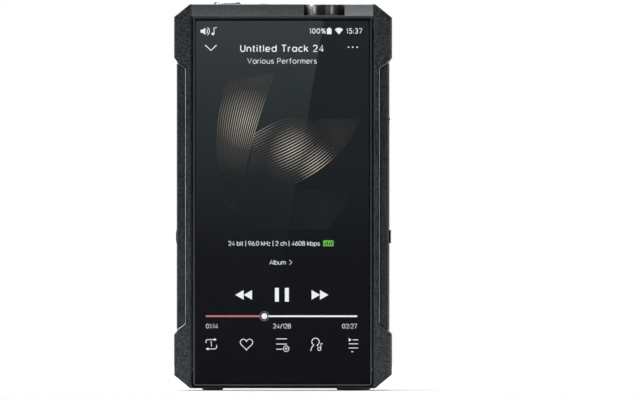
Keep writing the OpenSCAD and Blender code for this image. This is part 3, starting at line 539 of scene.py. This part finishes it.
glass = {
    "left": 0.2, "right": 0.04, "below": 0.3,  # gaps to the case
    "rim": 0.74, "corner": 1.2, "chamfer": 0.16, "paneGap": 0.02, "paneCorner": 0.6,
    # painted shadow of the bar along the rim's top: where it starts and ends under the top, in millimetres,
    # and how dark it gets
    "paintedBarShadowSpan": (1.0, 0.8), "paintedBarShadow": 0.18,
    "ground": {
        "dark": (0.030, 0.032, 0.035), "light": (0.070, 0.074, 0.079), "grain": 3000,
        "rough": (0.35, 0.55), "relief": 0.004,
    },
}


def glassMaterial():
    material, tree, shader = startMaterial("coverGlass")
    setInputs(shader, Base_Color=(0.96, 0.98, 0.98, 1), Roughness=0.0, IOR=1.46)
    shader.inputs["Transmission Weight"].default_value = 1.0
    smudge = noise(tree, placed(tree), 60, 5.0)
    tree.links.new(spread(tree, smudge, 0.0, 0.03, 0.45, 0.8), shader.inputs["Roughness"])
    return material


def roundedSlab(low, high, corner):
    bm = bmesh.new()
    bmesh.ops.create_cube(bm, size=1.0)
    bmesh.ops.scale(bm, verts=bm.verts, vec=high - low)
    bmesh.ops.translate(bm, verts=bm.verts, vec=(low + high) / 2)
    upright = [e for e in bm.edges if abs(e.verts[0].co.y - e.verts[1].co.y) > 1e-5]
    bmesh.ops.bevel(bm, geom=upright, offset=corner, affect="EDGES", segments=6, profile=0.5, material=-1)
    return bm


def hollowed(bm, wide):
    # leaves a band of even width around an open middle
    ends = [f for f in bm.faces if abs(f.normal.y) > 0.9]
    bmesh.ops.delete(bm, geom=ends, context="FACES_ONLY")
    bmesh.ops.recalc_face_normals(bm, faces=bm.faces)
    bmesh.ops.solidify(bm, geom=list(bm.faces), thickness=wide)
    return bm


def rimMaterial(top):
    # finely ground glass, with a painted shadow of the bar darkening it along the top
    material = finishedMetal("groundGlassWithPaintedShadow", glass["ground"])
    tree = material.node_tree
    shader = tree.nodes["Principled BSDF"]
    height = separated(tree, placed(tree))[2]
    start, end = [top - below * mm for below in glass["paintedBarShadowSpan"]]
    # painted shadow of the bar along the rim's top
    paintedShadow = spread(tree, height, 1.0, glass["paintedBarShadow"], start, end)
    plain = shader.inputs["Base Color"].links[0].from_socket
    tree.links.new(mixed(tree, 1.0, plain, paintedShadow, "MULTIPLY"), shader.inputs["Base Color"])
    return material


def buildGlass():
    # clear pane inside a rim whose outer front edge is chamfered
    low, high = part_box("cover_glass")
    low = low + Vector((glass["left"], 0, glass["below"])) * mm
    high = Vector((high.x - glass["right"] * mm, screen["glassBack"] * mm, high.z))
    inset = Vector((1, 0, 1)) * (glass["rim"] + glass["paneGap"]) * mm
    pane = meshFrom(roundedSlab(low + inset, high - inset, glass["paneCorner"] * mm), "coverGlassPane")
    pieceFrom(pane, "coverGlassPane", glassMaterial(), "case", "cover_glass")

    def onOuterFront(edge):
        # in front, nearer the outline than the rim's middle, between a wall and the front face
        aside = [min(v.co.x - low.x, high.x - v.co.x, v.co.z - low.z, high.z - v.co.z) for v in edge.verts]
        ahead = all(v.co.y < low.y + 1e-6 for v in edge.verts)
        walled = any(abs(f.normal.y) < 0.5 for f in edge.link_faces)
        return ahead and walled and max(aside) < glass["rim"] / 2 * mm

    bm = hollowed(roundedSlab(low, high, glass["corner"] * mm), glass["rim"] * mm)
    outer = [e for e in bm.edges if onOuterFront(e)]
    bmesh.ops.bevel(
        bm, geom=outer, offset=glass["chamfer"] * mm, affect="EDGES", segments=1, profile=0.5, material=-1)
    rim = pieceFrom(meshFrom(bm, "glassRim"), "glassRim", rimMaterial(high.z), "case")


inkBorder = {
    "right": 35.2, "low": 2.95, "top": 150.12, "wide": 1.18, "corner": 2.0, "front": -13.40, "back": -13.38,
    "look": dict(blackPlastic, dark=(0.0008, 0.0008, 0.0009), light=(0.002, 0.002, 0.0022),
                 rough=(0.7, 0.9), specular=0.05),
}


def buildInkBorder():
    # black ink printed behind the edge of the glass, as far as the picture
    right, wide = inkBorder["right"] + inkBorder["wide"], inkBorder["wide"]
    low = Vector((-right, inkBorder["front"], inkBorder["low"] - wide)) * mm
    high = Vector((right, inkBorder["back"], inkBorder["top"] + wide)) * mm
    border = meshFrom(hollowed(roundedSlab(low, high, inkBorder["corner"] * mm), wide * mm), "glassInk")
    piece = pieceFrom(border, "glassInk", finishedMetal("glassInk", inkBorder["look"]), "case")


pictureWithPaintedGlare = {
    # painted glare: where its slanted edge passes, how it leans, how soft it is, and the height of the
    # field, in metres
    "edge": (0.0003, 0.0529), "lean": 0.168, "soft": (-0.0002, 0.0004), "tall": 0.1556, "strength": 1.15,
    "paintedGlare": [(0.0, (0.0055, 0.0055, 0.0080)), (0.36, (0.0085, 0.0088, 0.0115)),
            (0.60, (0.0185, 0.0220, 0.0245)), (0.80, (0.0270, 0.0320, 0.0350)),
            (1.0, (0.0420, 0.0460, 0.0510))],
    "plain": [(0.0, (0.0055, 0.0055, 0.0080)), (0.36, (0.0075, 0.0078, 0.0105)),
              (0.60, (0.0125, 0.0150, 0.0175)), (1.0, (0.0150, 0.0185, 0.0215))],
}


def paintedGlarePictureMaterial():
    # picture behind the glyphs with a painted reflection: a slanted lighter field of painted glare beside a
    # plainer one, both darkening downwards
    material, tree, shader = startMaterial("displayPictureWithPaintedGlare")
    setInputs(shader, Base_Color=(0.002, 0.002, 0.003, 1), Roughness=0.9)
    shader.inputs["Specular IOR Level"].default_value = screen["sheen"]
    parts = separated(tree, placed(tree))
    # the painted glare's slanted edge runs from the upper right towards the middle of the lower edge
    edgeX, edgeZ = pictureWithPaintedGlare["edge"]
    lean = maths(tree, "MULTIPLY", maths(tree, "SUBTRACT", parts[2], edgeZ), pictureWithPaintedGlare["lean"])
    slant = maths(tree, "SUBTRACT", maths(tree, "SUBTRACT", parts[0], edgeX), lean)
    side = spread(tree, slant, 1.0, 0.0, *pictureWithPaintedGlare["soft"])
    height = spread(tree, parts[2], 0.0, 1.0, 0.0, pictureWithPaintedGlare["tall"])
    paintedGlare, plain = [ramp(tree, height, pictureWithPaintedGlare[key]) for key in ("paintedGlare", "plain")]
    tree.links.new(mixed(tree, side, plain, paintedGlare), shader.inputs["Emission Color"])
    shader.inputs["Emission Strength"].default_value = pictureWithPaintedGlare["strength"]
    return material


def glowMaterial(name, colour=None):
    material, tree, shader = startMaterial(name)
    setInputs(shader, Base_Color=(0.01, 0.01, 0.01, 1), Roughness=0.9)
    shader.inputs["Specular IOR Level"].default_value = screen["sheen"]
    if colour:
        shader.inputs["Emission Color"].default_value = (*colour, 1)
    shader.inputs["Emission Strength"].default_value = 1.0
    return material


def standUp(mesh):
    # from the drawing plane to the screen's plane, x to the right and z up, in millimetres
    across = screen["aside"] * mm
    turn = Matrix(((mm, 0, 0, across), (0, 0, -mm, screen["glyphFront"] * mm), (0, mm, 0, 0), (0, 0, 0, 1)))
    mesh.transform(turn)
    return mesh


def curveMesh(points, thick, closed=False, fill=False):
    # points in millimetres on the drawing plane: a stroke of even width, or a filled outline
    curve = bpy.data.curves.new("stroke", "CURVE")
    curve.dimensions = "2D" if fill else "3D"
    for chain in points:
        spline = curve.splines.new("POLY")
        spline.points.add(len(chain) - 1)
        for point, (x, y) in zip(spline.points, chain):
            point.co = (x, y, 0, 1)
        spline.use_cyclic_u = closed or fill
    if fill:
        curve.fill_mode = "BOTH"
        curve.extrude = screen["glyphDeep"] / 2
    else:
        curve.bevel_depth = thick / 2
        curve.bevel_resolution = 1
        curve.use_fill_caps = True
    return meshOf(curve, flat=not fill)


def meshOf(data, flat=False):
    holder = bpy.data.objects.new("holder", data)
    bpy.context.scene.collection.objects.link(holder)
    bpy.context.view_layer.update()
    mesh = bpy.data.meshes.new_from_object(holder.evaluated_get(bpy.context.evaluated_depsgraph_get()))
    bpy.data.objects.remove(holder)
    if flat:
        mesh.transform(Matrix.Diagonal((1, 1, screen["strokeFlat"], 1)))
    return mesh


def arc(x, y, rx, ry, start, end, steps=14):
    angles = [math.radians(start + (end - start) * i / steps) for i in range(steps + 1)]
    return [(x + rx * math.cos(a), y + ry * math.sin(a)) for a in angles]


def circlePoints(x, y, r, start=0.0, end=360.0, steps=28):
    # a full circle leaves out its last point, which would be the first again
    points = arc(x, y, r, r, start, end, steps)
    return points[:-1] if end - start >= 360 else points


def letterShapes():
    # plain round lettering: each sign's width and its strokes, for capitals one unit tall
    bowl = arc(0.33, 0.35, 0.33, 0.35, 0, 360)
    hump = arc(0.29, 0.41, 0.29, 0.29, 180, 0) + [(0.58, 0)]
    return {
        " ": (0.22, []),
        "a": (0.66, [bowl, [(0.66, 0.7), (0.66, 0)]]),
        "b": (0.66, [bowl, [(0, 1), (0, 0)]]),
        "c": (0.56, [arc(0.33, 0.35, 0.33, 0.35, 48, 312)]),
        "d": (0.66, [bowl, [(0.66, 1), (0.66, 0)]]),
        "e": (0.66, [[(0, 0.35)] + arc(0.33, 0.35, 0.33, 0.35, 0, 315)]),
        "f": (0.36, [[(0.12, 0)] + arc(0.34, 0.78, 0.22, 0.22, 180, 90), [(0, 0.7), (0.34, 0.7)]]),
        "h": (0.58, [[(0, 1), (0, 0)], hump]),
        "i": (0.02, [[(0.01, 0.7), (0.01, 0)], [(0.01, 0.89), (0.01, 1.01)]]),
        "k": (0.52, [[(0, 1), (0, 0)], [(0.5, 0.7), (0, 0.27)], [(0.18, 0.42), (0.54, 0)]]),
        "l": (0.02, [[(0.01, 1), (0.01, 0)]]),
        "m": (0.88, [[(0, 0.7), (0, 0)], arc(0.22, 0.48, 0.22, 0.22, 180, 0) + [(0.44, 0)],
                     arc(0.66, 0.48, 0.22, 0.22, 180, 0) + [(0.88, 0)]]),
        "n": (0.58, [[(0, 0.7), (0, 0)], hump]),
        "o": (0.66, [bowl]),
        "p": (0.66, [bowl, [(0, 0.7), (0, -0.3)]]),
        "r": (0.32, [[(0, 0.7), (0, 0)], arc(0.28, 0.42, 0.28, 0.28, 180, 85)]),
        "s": (0.48, [arc(0.24, 0.52, 0.21, 0.17, 30, 270) + arc(0.24, 0.18, 0.23, 0.17, 90, -150)]),
        "t": (0.32, [[(0.12, 0.95)] + arc(0.3, 0.18, 0.18, 0.18, 180, 270), [(0, 0.7), (0.32, 0.7)]]),
        "u": (0.58, [[(0, 0.7)] + arc(0.29, 0.29, 0.29, 0.29, 180, 360), [(0.58, 0.7), (0.58, 0)]]),
        "z": (0.5, [[(0, 0.7), (0.5, 0.7), (0, 0), (0.5, 0)]]),
        "A": (0.84, [[(0, 0), (0.42, 1), (0.84, 0)], [(0.15, 0.32), (0.69, 0.32)]]),
        "H": (0.68, [[(0, 0), (0, 1)], [(0.68, 0), (0.68, 1)], [(0, 0.52), (0.68, 0.52)]]),
        "P": (0.62, [[(0, 0), (0, 1)] + arc(0.34, 0.72, 0.28, 0.28, 90, -90) + [(0, 0.44)]]),
        "T": (0.7, [[(0, 1), (0.7, 1)], [(0.35, 1), (0.35, 0)]]),
        "U": (0.68, [[(0, 1)] + arc(0.34, 0.34, 0.34, 0.34, 180, 360) + [(0.68, 1)]]),
        "V": (0.8, [[(0, 1), (0.4, 0), (0.8, 1)]]),
        "0": (0.62, [arc(0.31, 0.5, 0.31, 0.5, 0, 360)]),
        "1": (0.22, [[(0, 0.8), (0.22, 1), (0.22, 0)]]),
        "2": (0.6, [arc(0.3, 0.7, 0.3, 0.3, 165, -35) + [(0, 0), (0.62, 0)]]),
        "3": (0.6, [arc(0.29, 0.74, 0.26, 0.26, 150, -90), arc(0.29, 0.26, 0.3, 0.26, 90, -150)]),
        "4": (0.66, [[(0.48, 0), (0.48, 1), (0, 0.25), (0.68, 0.25)]]),
        "5": (0.6, [[(0.54, 1), (0.1, 1)] + arc(0.29, 0.33, 0.3, 0.33, 130, -150)]),
        "6": (0.62, [arc(0.31, 0.33, 0.31, 0.33, 0, 360), [(0.03, 0.42), (0.4, 1)]]),
        "7": (0.56, [[(0, 1), (0.58, 1), (0.2, 0)]]),
        "8": (0.62, [arc(0.31, 0.26, 0.31, 0.26, 0, 360), arc(0.31, 0.76, 0.26, 0.24, 0, 360)]),
        "9": (0.62, [arc(0.31, 0.67, 0.31, 0.33, 0, 360), [(0.59, 0.58), (0.22, 0)]]),
        "%": (0.82, [[(0.12, 0), (0.7, 1)],
                     arc(0.16, 0.78, 0.16, 0.2, 0, 360), arc(0.66, 0.22, 0.16, 0.2, 0, 360)]),
        ":": (0.02, [[(0.01, 0.05), (0.01, 0.2)], [(0.01, 0.5), (0.01, 0.65)]]),
        ".": (0.02, [[(0.01, -0.04), (0.01, 0.1)]]),
        "|": (0.02, [[(0.01, 1.12), (0.01, -0.18)]]),
        "/": (0.42, [[(0, -0.08), (0.42, 1.05)]]),
    }


letters = letterShapes()


def wordChains(text, left, right, base, tall):
    # the gaps between the signs stretch so that the word fills left to right
    gap = ((right - left) / tall - sum(letters[sign][0] for sign in text)) / (len(text) - 1)
    chains, x = [], 0.0
    for sign in text:
        wide, strokes = letters[sign]
        chains += [[(left + (x + px) * tall, base + py * tall) for px, py in chain] for chain in strokes]
        x += wide + gap
    return chains


def gathered(name, meshes, material):
    bm = bmesh.new()
    for mesh in meshes:
        bm.from_mesh(standUp(mesh))
        bpy.data.meshes.remove(mesh)
    mesh = bpy.data.meshes.new(name)
    bm.to_mesh(mesh)
    bm.free()
    piece = pieceFrom(mesh, name, material, "case")
    return piece


def buildGlyphs():
    up = screen["base"]
    white, dim = [], []

    def word(text, left, right, base, tall, thick, where=white):
        where.append(curveMesh(wordChains(text, left, right, base + up, tall), thick))

    def stroke(chain, thick, closed=False, where=white):
        where.append(curveMesh([[(x, y + up) for x, y in chain]], thick, closed))

    def solid(chain, where=white):
        where.append(curveMesh([[(x, y + up) for x, y in chain]], 0, fill=True))

    # status row
    solid([(-33.6, 144.4), (-32.8, 144.4), (-31.7, 143.5), (-31.7, 146.4), (-32.8, 145.6), (-33.6, 145.6)])
    stroke(circlePoints(-31.9, 145, 1.1, -50, 50, 10), 0.3)
    stroke(circlePoints(-31.9, 145, 1.9, -55, 55, 12), 0.3)
    solid(circlePoints(-28.6, 143.9, 0.55))
    stroke([(-28.15, 143.9), (-28.15, 146.3), (-27.0, 146.5)], 0.35)
    word("100%", 10.7, 17.1, 144.1, 1.95, 0.3)
    solid([(17.7, 143.8), (19.6, 143.8), (19.6, 146.0), (19.1, 146.0),
           (19.1, 146.4), (18.2, 146.4), (18.2, 146.0), (17.7, 146.0)])
    solid([(22.6, 143.7)] + arc(22.6, 143.7, 2.4, 2.7, 46, 134, 11))
    word("15:37", 25.7, 31.9, 144.1, 1.95, 0.3)
    # heading
    stroke([(-31.7, 139.4), (-29.4, 137.2), (-27.1, 139.4)], 0.4)
    word("Untitled Track 24", -17.3, 16.3, 136.75, 2.55, 0.42)
    word("Various Performers", -14.5, 13.5, 131.9, 2.05, 0.27, dim)
    for x in (26.5, 28.2, 30.0):
        solid(circlePoints(x, 138.5, 0.3, steps=14))
    # facts about the track
    word("24 bit | 96.0 kHz | 2 ch | 4608 kbps", -22.3, 14.8, 58.0, 1.7, 0.27, dim)
    word("Album", -5.6, 0.9, 50.3, 1.75, 0.24, dim)
    stroke([(2.5, 52.1), (3.5, 51.15), (2.5, 50.2)], 0.26, where=dim)
    # transport
    for x in (-19.5, -16.1):
        solid([(x, 37.95), (x + 3.4, 36.0), (x + 3.4, 39.9)])
    for x in (-3.4, 0.65):
        solid([(x, 35.2), (x + 1.6, 35.2), (x + 1.6, 40.8), (x, 40.8)])
    for x in (18.3, 14.9):
        solid([(x, 37.95), (x - 3.4, 39.9), (x - 3.4, 36.0)])
    # progress
    solid([(-6.2, 28.95), (30.0, 28.95), (30.0, 29.65), (-6.2, 29.65)])
    solid(circlePoints(-7.7, 29.3, 1.2))
    word("01:14", -31.3, -26.6, 24.4, 1.75, 0.24, dim)
    word("24/128", -4.1, 3.0, 24.4, 1.75, 0.24, dim)
    word("02:27", 24.0, 29.8, 24.4, 1.75, 0.24, dim)
    # repeat one
    stroke([(-31.4, 18.4), (-31.4, 19.3), (-30.9, 19.8), (-27.8, 19.8)], 0.3)
    solid([(-28.1, 20.4), (-28.1, 19.2), (-27.0, 19.8)])
    stroke([(-27.1, 17.6), (-27.1, 16.5), (-27.6, 16.0), (-30.7, 16.0)], 0.3)
    solid([(-30.4, 15.4), (-30.4, 16.6), (-31.5, 16.0)])
    stroke([(-29.6, 18.7), (-29.2, 19.0), (-29.2, 17.0)], 0.3)
    # heart
    heart = []
    for i in range(40):
        a = math.tau * i / 40
        rise = 13 * math.cos(a) - 5 * math.cos(2 * a) - 2 * math.cos(3 * a) - math.cos(4 * a)
        heart.append((-14.95 + 0.158 * 16 * math.sin(a) ** 3, 18.1 + 0.158 * rise))
    stroke(heart, 0.29, closed=True)
    # add to list
    for z, end in ((20.1, 1.5), (18.0, 1.5), (15.9, -0.4)):
        stroke([(-2.9, z), (end, z)], 0.3)
    stroke(circlePoints(1.15, 16.1, 1.15), 0.26, closed=True)
    stroke([(0.5, 16.1), (1.8, 16.1)], 0.24)
    stroke([(1.15, 15.45), (1.15, 16.75)], 0.24)
    # singer and note
    stroke(circlePoints(13.1, 18.9, 1.5, -65, 245, 24), 0.3)
    stroke([(12.4, 17.55), (11.6, 16.7), (11.1, 15.2)], 0.3)
    stroke([(13.75, 17.55), (14.0, 17.0)], 0.3)
    stroke(circlePoints(14.6, 16.0, 0.62), 0.26, closed=True)
    stroke([(15.25, 16.0), (15.25, 18.3), (16.0, 18.0)], 0.3)
    # play queue
    solid([(26.6, 20.4), (26.6, 19.0), (27.7, 19.7)])
    for z, start in ((19.7, 28.2), (18.1, 26.6), (16.4, 26.6)):
        stroke([(start, z), (30.4, z)], 0.3)
    stroke([(27.6, 14.9), (28.4, 14.9)], 0.36)
    gathered("screenGlyphs", white, glowMaterial("glyphWhite", screen["white"]))
    gathered("screenSmallWords", dim, glowMaterial("glyphGrey", screen["dim"]))

    played = [[(-31.5, 28.95 + up), (-9.3, 28.95 + up), (-9.3, 29.65 + up), (-31.5, 29.65 + up)]]
    gathered("screenPlayed", [curveMesh(played, 0, fill=True)], glowMaterial("glyphRed", screen["played"]))
    ring = curveMesh([circlePoints(-7.7, 29.3 + up, 1.85)], 0.32, closed=True)
    gathered("screenKnobRing", [ring], glowMaterial("glyphShade", screen["shade"]))
    badge = [(16.2, 57.7 + up), (20.4, 57.7 + up), (20.4, 60.1 + up), (16.2, 60.1 + up)]
    bars = [[(x, 58.2 + up), (x, 58.2 + up + rise), (x + 0.42, 58.2 + up + rise), (x + 0.42, 58.2 + up)]
            for x, rise in ((16.8, 0.7), (17.65, 1.3), (18.5, 0.9), (19.35, 1.35))]
    badgeMesh = curveMesh([badge] + bars, 0, fill=True)
    gathered("screenBadge", [badgeMesh], glowMaterial("glyphGreen", screen["badge"]))


art = {
    # where the lines glow: x, z, how far and how bright
    "glows": [(-15, 109, 24, 0.8), (-9, 125, 18, 0.4), (4, 97, 15, 1.0), (13, 91, 13, 1.0),
              (23, 103, 14, 0.3), (17, 71, 17, 0.12)],
    "colours": [(0.0, (0.016, 0.018, 0.020)), (0.3, (0.085, 0.075, 0.062)), (0.9, (0.80, 0.70, 0.58))],
    "fade": 1.25, "line": 0.28, "pieces": 20,
    # each sheaf's first and last line: where they start, bend and end
    "sheaves": [
        (19, ((-22, 125), (-3.5, 128)), ((-31, 104), (-13, 104)), ((-23.5, 75), (-19.5, 72))),
        (24, ((-12, 103), (-15, 77)), ((2, 112), (22, 85)), ((9, 109), (31, 110))),
        (23, ((-11, 64.5), (17, 64.5)), ((-4, 70), (23, 70)), ((4, 81), (27, 79))),
    ],
}


def artMaterial():
    # gold lines that fade away from a few bright places
    material = glowMaterial("artGlow")
    tree = material.node_tree
    total = None
    for x, z, reach, peak in art["glows"]:
        vector = placed(tree, scale=(1, 0, 1), centre=(x * mm, 0, (z + screen["base"]) * mm))
        glow = spread(tree, distanceFrom(tree, vector), peak, 0.0, 0.0, reach * mm)
        glow = maths(tree, "POWER", glow, art["fade"])
        total = glow if total is None else maths(tree, "MAXIMUM", total, glow)
    colour = ramp(tree, total, art["colours"])
    tree.links.new(colour, tree.nodes["Principled BSDF"].inputs["Emission Color"])
    return material


def buildArt():
    # three sheaves of fine lines, each line a smooth bend
    chains = []
    for lines, *places in art["sheaves"]:
        for i in range(lines):
            t = i / (lines - 1)
            start, bend, end = [Vector(a) * (1 - t) + Vector(b) * t for a, b in places]
            chain = []
            for k in range(art["pieces"] + 1):
                u = k / art["pieces"]
                at = start * (1 - u) ** 2 + bend * 2 * u * (1 - u) + end * u ** 2
                chain.append((at.x, at.y + screen["base"]))
            chains.append(chain)
    gathered("screenArt", [curveMesh(chains, art["line"])], artMaterial())


dress(paintedGlarePictureMaterial(), "display_panel")
buildGlass()
buildInkBorder()
buildGlyphs()
buildArt()
print("screen")


# stage, lights and camera

studio = {
    "floor": (0.60, 0.62), "reach": 0.9, "ahead": 0.09, "sink": 0.00002,
    "lift": (0.20, 0.9), "liftOver": (0.08, 0.35),
    # the tent's brightness from front to back, left to right and bottom to top
    "tent": {
        "y": [(0.0, 0.004), (0.15, 0.05), (0.35, 0.5), (0.5, 0.8), (1.0, 0.9)],
        "x": [(0.0, 0.9), (0.3, 0.45), (0.7, 0.35), (1.0, 0.5)],
        "z": [(0.5, 1.0), (0.75, 0.45), (1.0, 0.6)],
    },
    "span": 0.2604, "distance": 6.0, "turn": 1.5, "aside": 0.01490, "height": 0.07737, "sensor": 36,
}


def buildFloor():
    # pale paper that stops just ahead of the player, so that the glass has nothing white to reflect
    bm = bmesh.new()
    bmesh.ops.create_grid(bm, x_segments=12, y_segments=8, size=studio["reach"])
    for vert in bm.verts:
        if vert.co.y < 0:
            vert.co.y *= studio["ahead"] / studio["reach"]
        vert.co.z = -studio["sink"]
    mesh = bpy.data.meshes.new("floor")
    bm.to_mesh(mesh)
    bm.free()
    floor = bpy.data.objects.new("floor", mesh)
    bpy.context.scene.collection.objects.link(floor)
    material, tree, shader = startMaterial("floorPaper")
    setInputs(shader, Roughness=0.9)
    dark, light = [grey(value) for value in studio["floor"]]
    fibre = noise(tree, placed(tree), 40)
    tree.links.new(ramp(tree, fibre, [(0.3, dark), (0.7, light)]), shader.inputs["Base Color"])
    # lifted to white for the camera only, more the farther away it is
    lift = spread(tree, distanceFrom(tree, placed(tree)), *studio["lift"], *studio["liftOver"])
    rays = addNode(tree, "ShaderNodeLightPath")
    lift = maths(tree, "MULTIPLY", rays.outputs["Is Camera Ray"], lift)
    tree.links.new(lift, shader.inputs["Emission Strength"])
    shader.inputs["Emission Color"].default_value = (1, 1, 1, 1)
    mesh.materials.append(material)


def softbox(name, azimuth, height, distance, wide, tall, power, aim=(0, 0, 0.08)):
    # azimuth in degrees from the front, positive to the right; hidden from the camera
    light = bpy.data.lights.new(name, "AREA")
    light.shape = "RECTANGLE"
    light.size, light.size_y = wide, tall
    light.energy = power
    lamp = bpy.data.objects.new(name, light)
    angle = math.radians(azimuth)
    lamp.location = Vector(aim) + Vector((distance * math.sin(angle), -distance * math.cos(angle), height))
    lamp.rotation_euler = (Vector(aim) - lamp.location).to_track_quat("-Z", "Y").to_euler()
    bpy.context.scene.collection.objects.link(lamp)
    lamp.visible_camera = False


def buildWorld():
    # a pale tent, dark in front so that the glass stays dark, brighter at the left than at the right
    world = bpy.data.worlds.new("tent")
    bpy.context.scene.world = world
    world.use_nodes = True
    tree = world.node_tree
    back = tree.nodes["Background"]
    coords = addNode(tree, "ShaderNodeTexCoord")
    parts = separated(tree, coords.outputs["Generated"])
    shell, side, upper = [
        ramp(tree, spread(tree, parts["xyz".index(axis)], 0.0, 1.0, -1.0, 1.0),
             [(place, grey(value)) for place, value in studio["tent"][axis]]) for axis in "yxz"]
    light = mixed(tree, 1.0, mixed(tree, 1.0, shell, side, "MULTIPLY"), upper, "MULTIPLY")
    rays = addNode(tree, "ShaderNodeLightPath")
    tree.links.new(mixed(tree, rays.outputs["Is Camera Ray"], light, (1, 1, 1)), back.inputs["Color"])
    back.inputs["Strength"].default_value = 1.0


def buildCamera():
    data = bpy.data.cameras.new("camera")
    data.sensor_width = studio["sensor"]
    data.lens = studio["sensor"] * studio["distance"] / studio["span"]
    data.clip_end = 50
    camera = bpy.data.objects.new("camera", data)
    turn = math.radians(studio["turn"])
    across = Vector((math.cos(turn), math.sin(turn), 0))
    ahead = Vector((-math.sin(turn), math.cos(turn), 0))
    camera.location = across * studio["aside"] - ahead * studio["distance"]
    camera.location.z = studio["height"]
    camera.rotation_euler = (math.pi / 2, 0, turn)
    bpy.context.scene.collection.objects.link(camera)
    bpy.context.scene.camera = camera


lamps = [
    # name, azimuth, height and distance from the aim, width, height, power
    ("keyBox", -38, 0.75, 1.0, 0.35, 0.35, 3.5),
    ("upperLeft", -90, 0.7, 0.7, 0.5, 0.5, 5.0),
    ("rightFill", 46, 0.06, 1.0, 0.10, 0.6, 1.3),
    ("leftFill", -66, 0.06, 1.0, 0.14, 0.6, 2.2),
    ("leftEdge", -92, 0.1, 0.9, 0.25, 0.8, 1.9),
    ("rightEdge", 92, 0.1, 0.9, 0.25, 0.8, 1.2),
    ("topBox", 180, 1.3, 0.15, 1.4, 1.4, 26),
]

buildFloor()
buildWorld()
for lamp in lamps:
    softbox(*lamp)
buildCamera()
bpy.context.scene.view_settings.view_transform = "Standard"
print("stage, lights and camera")
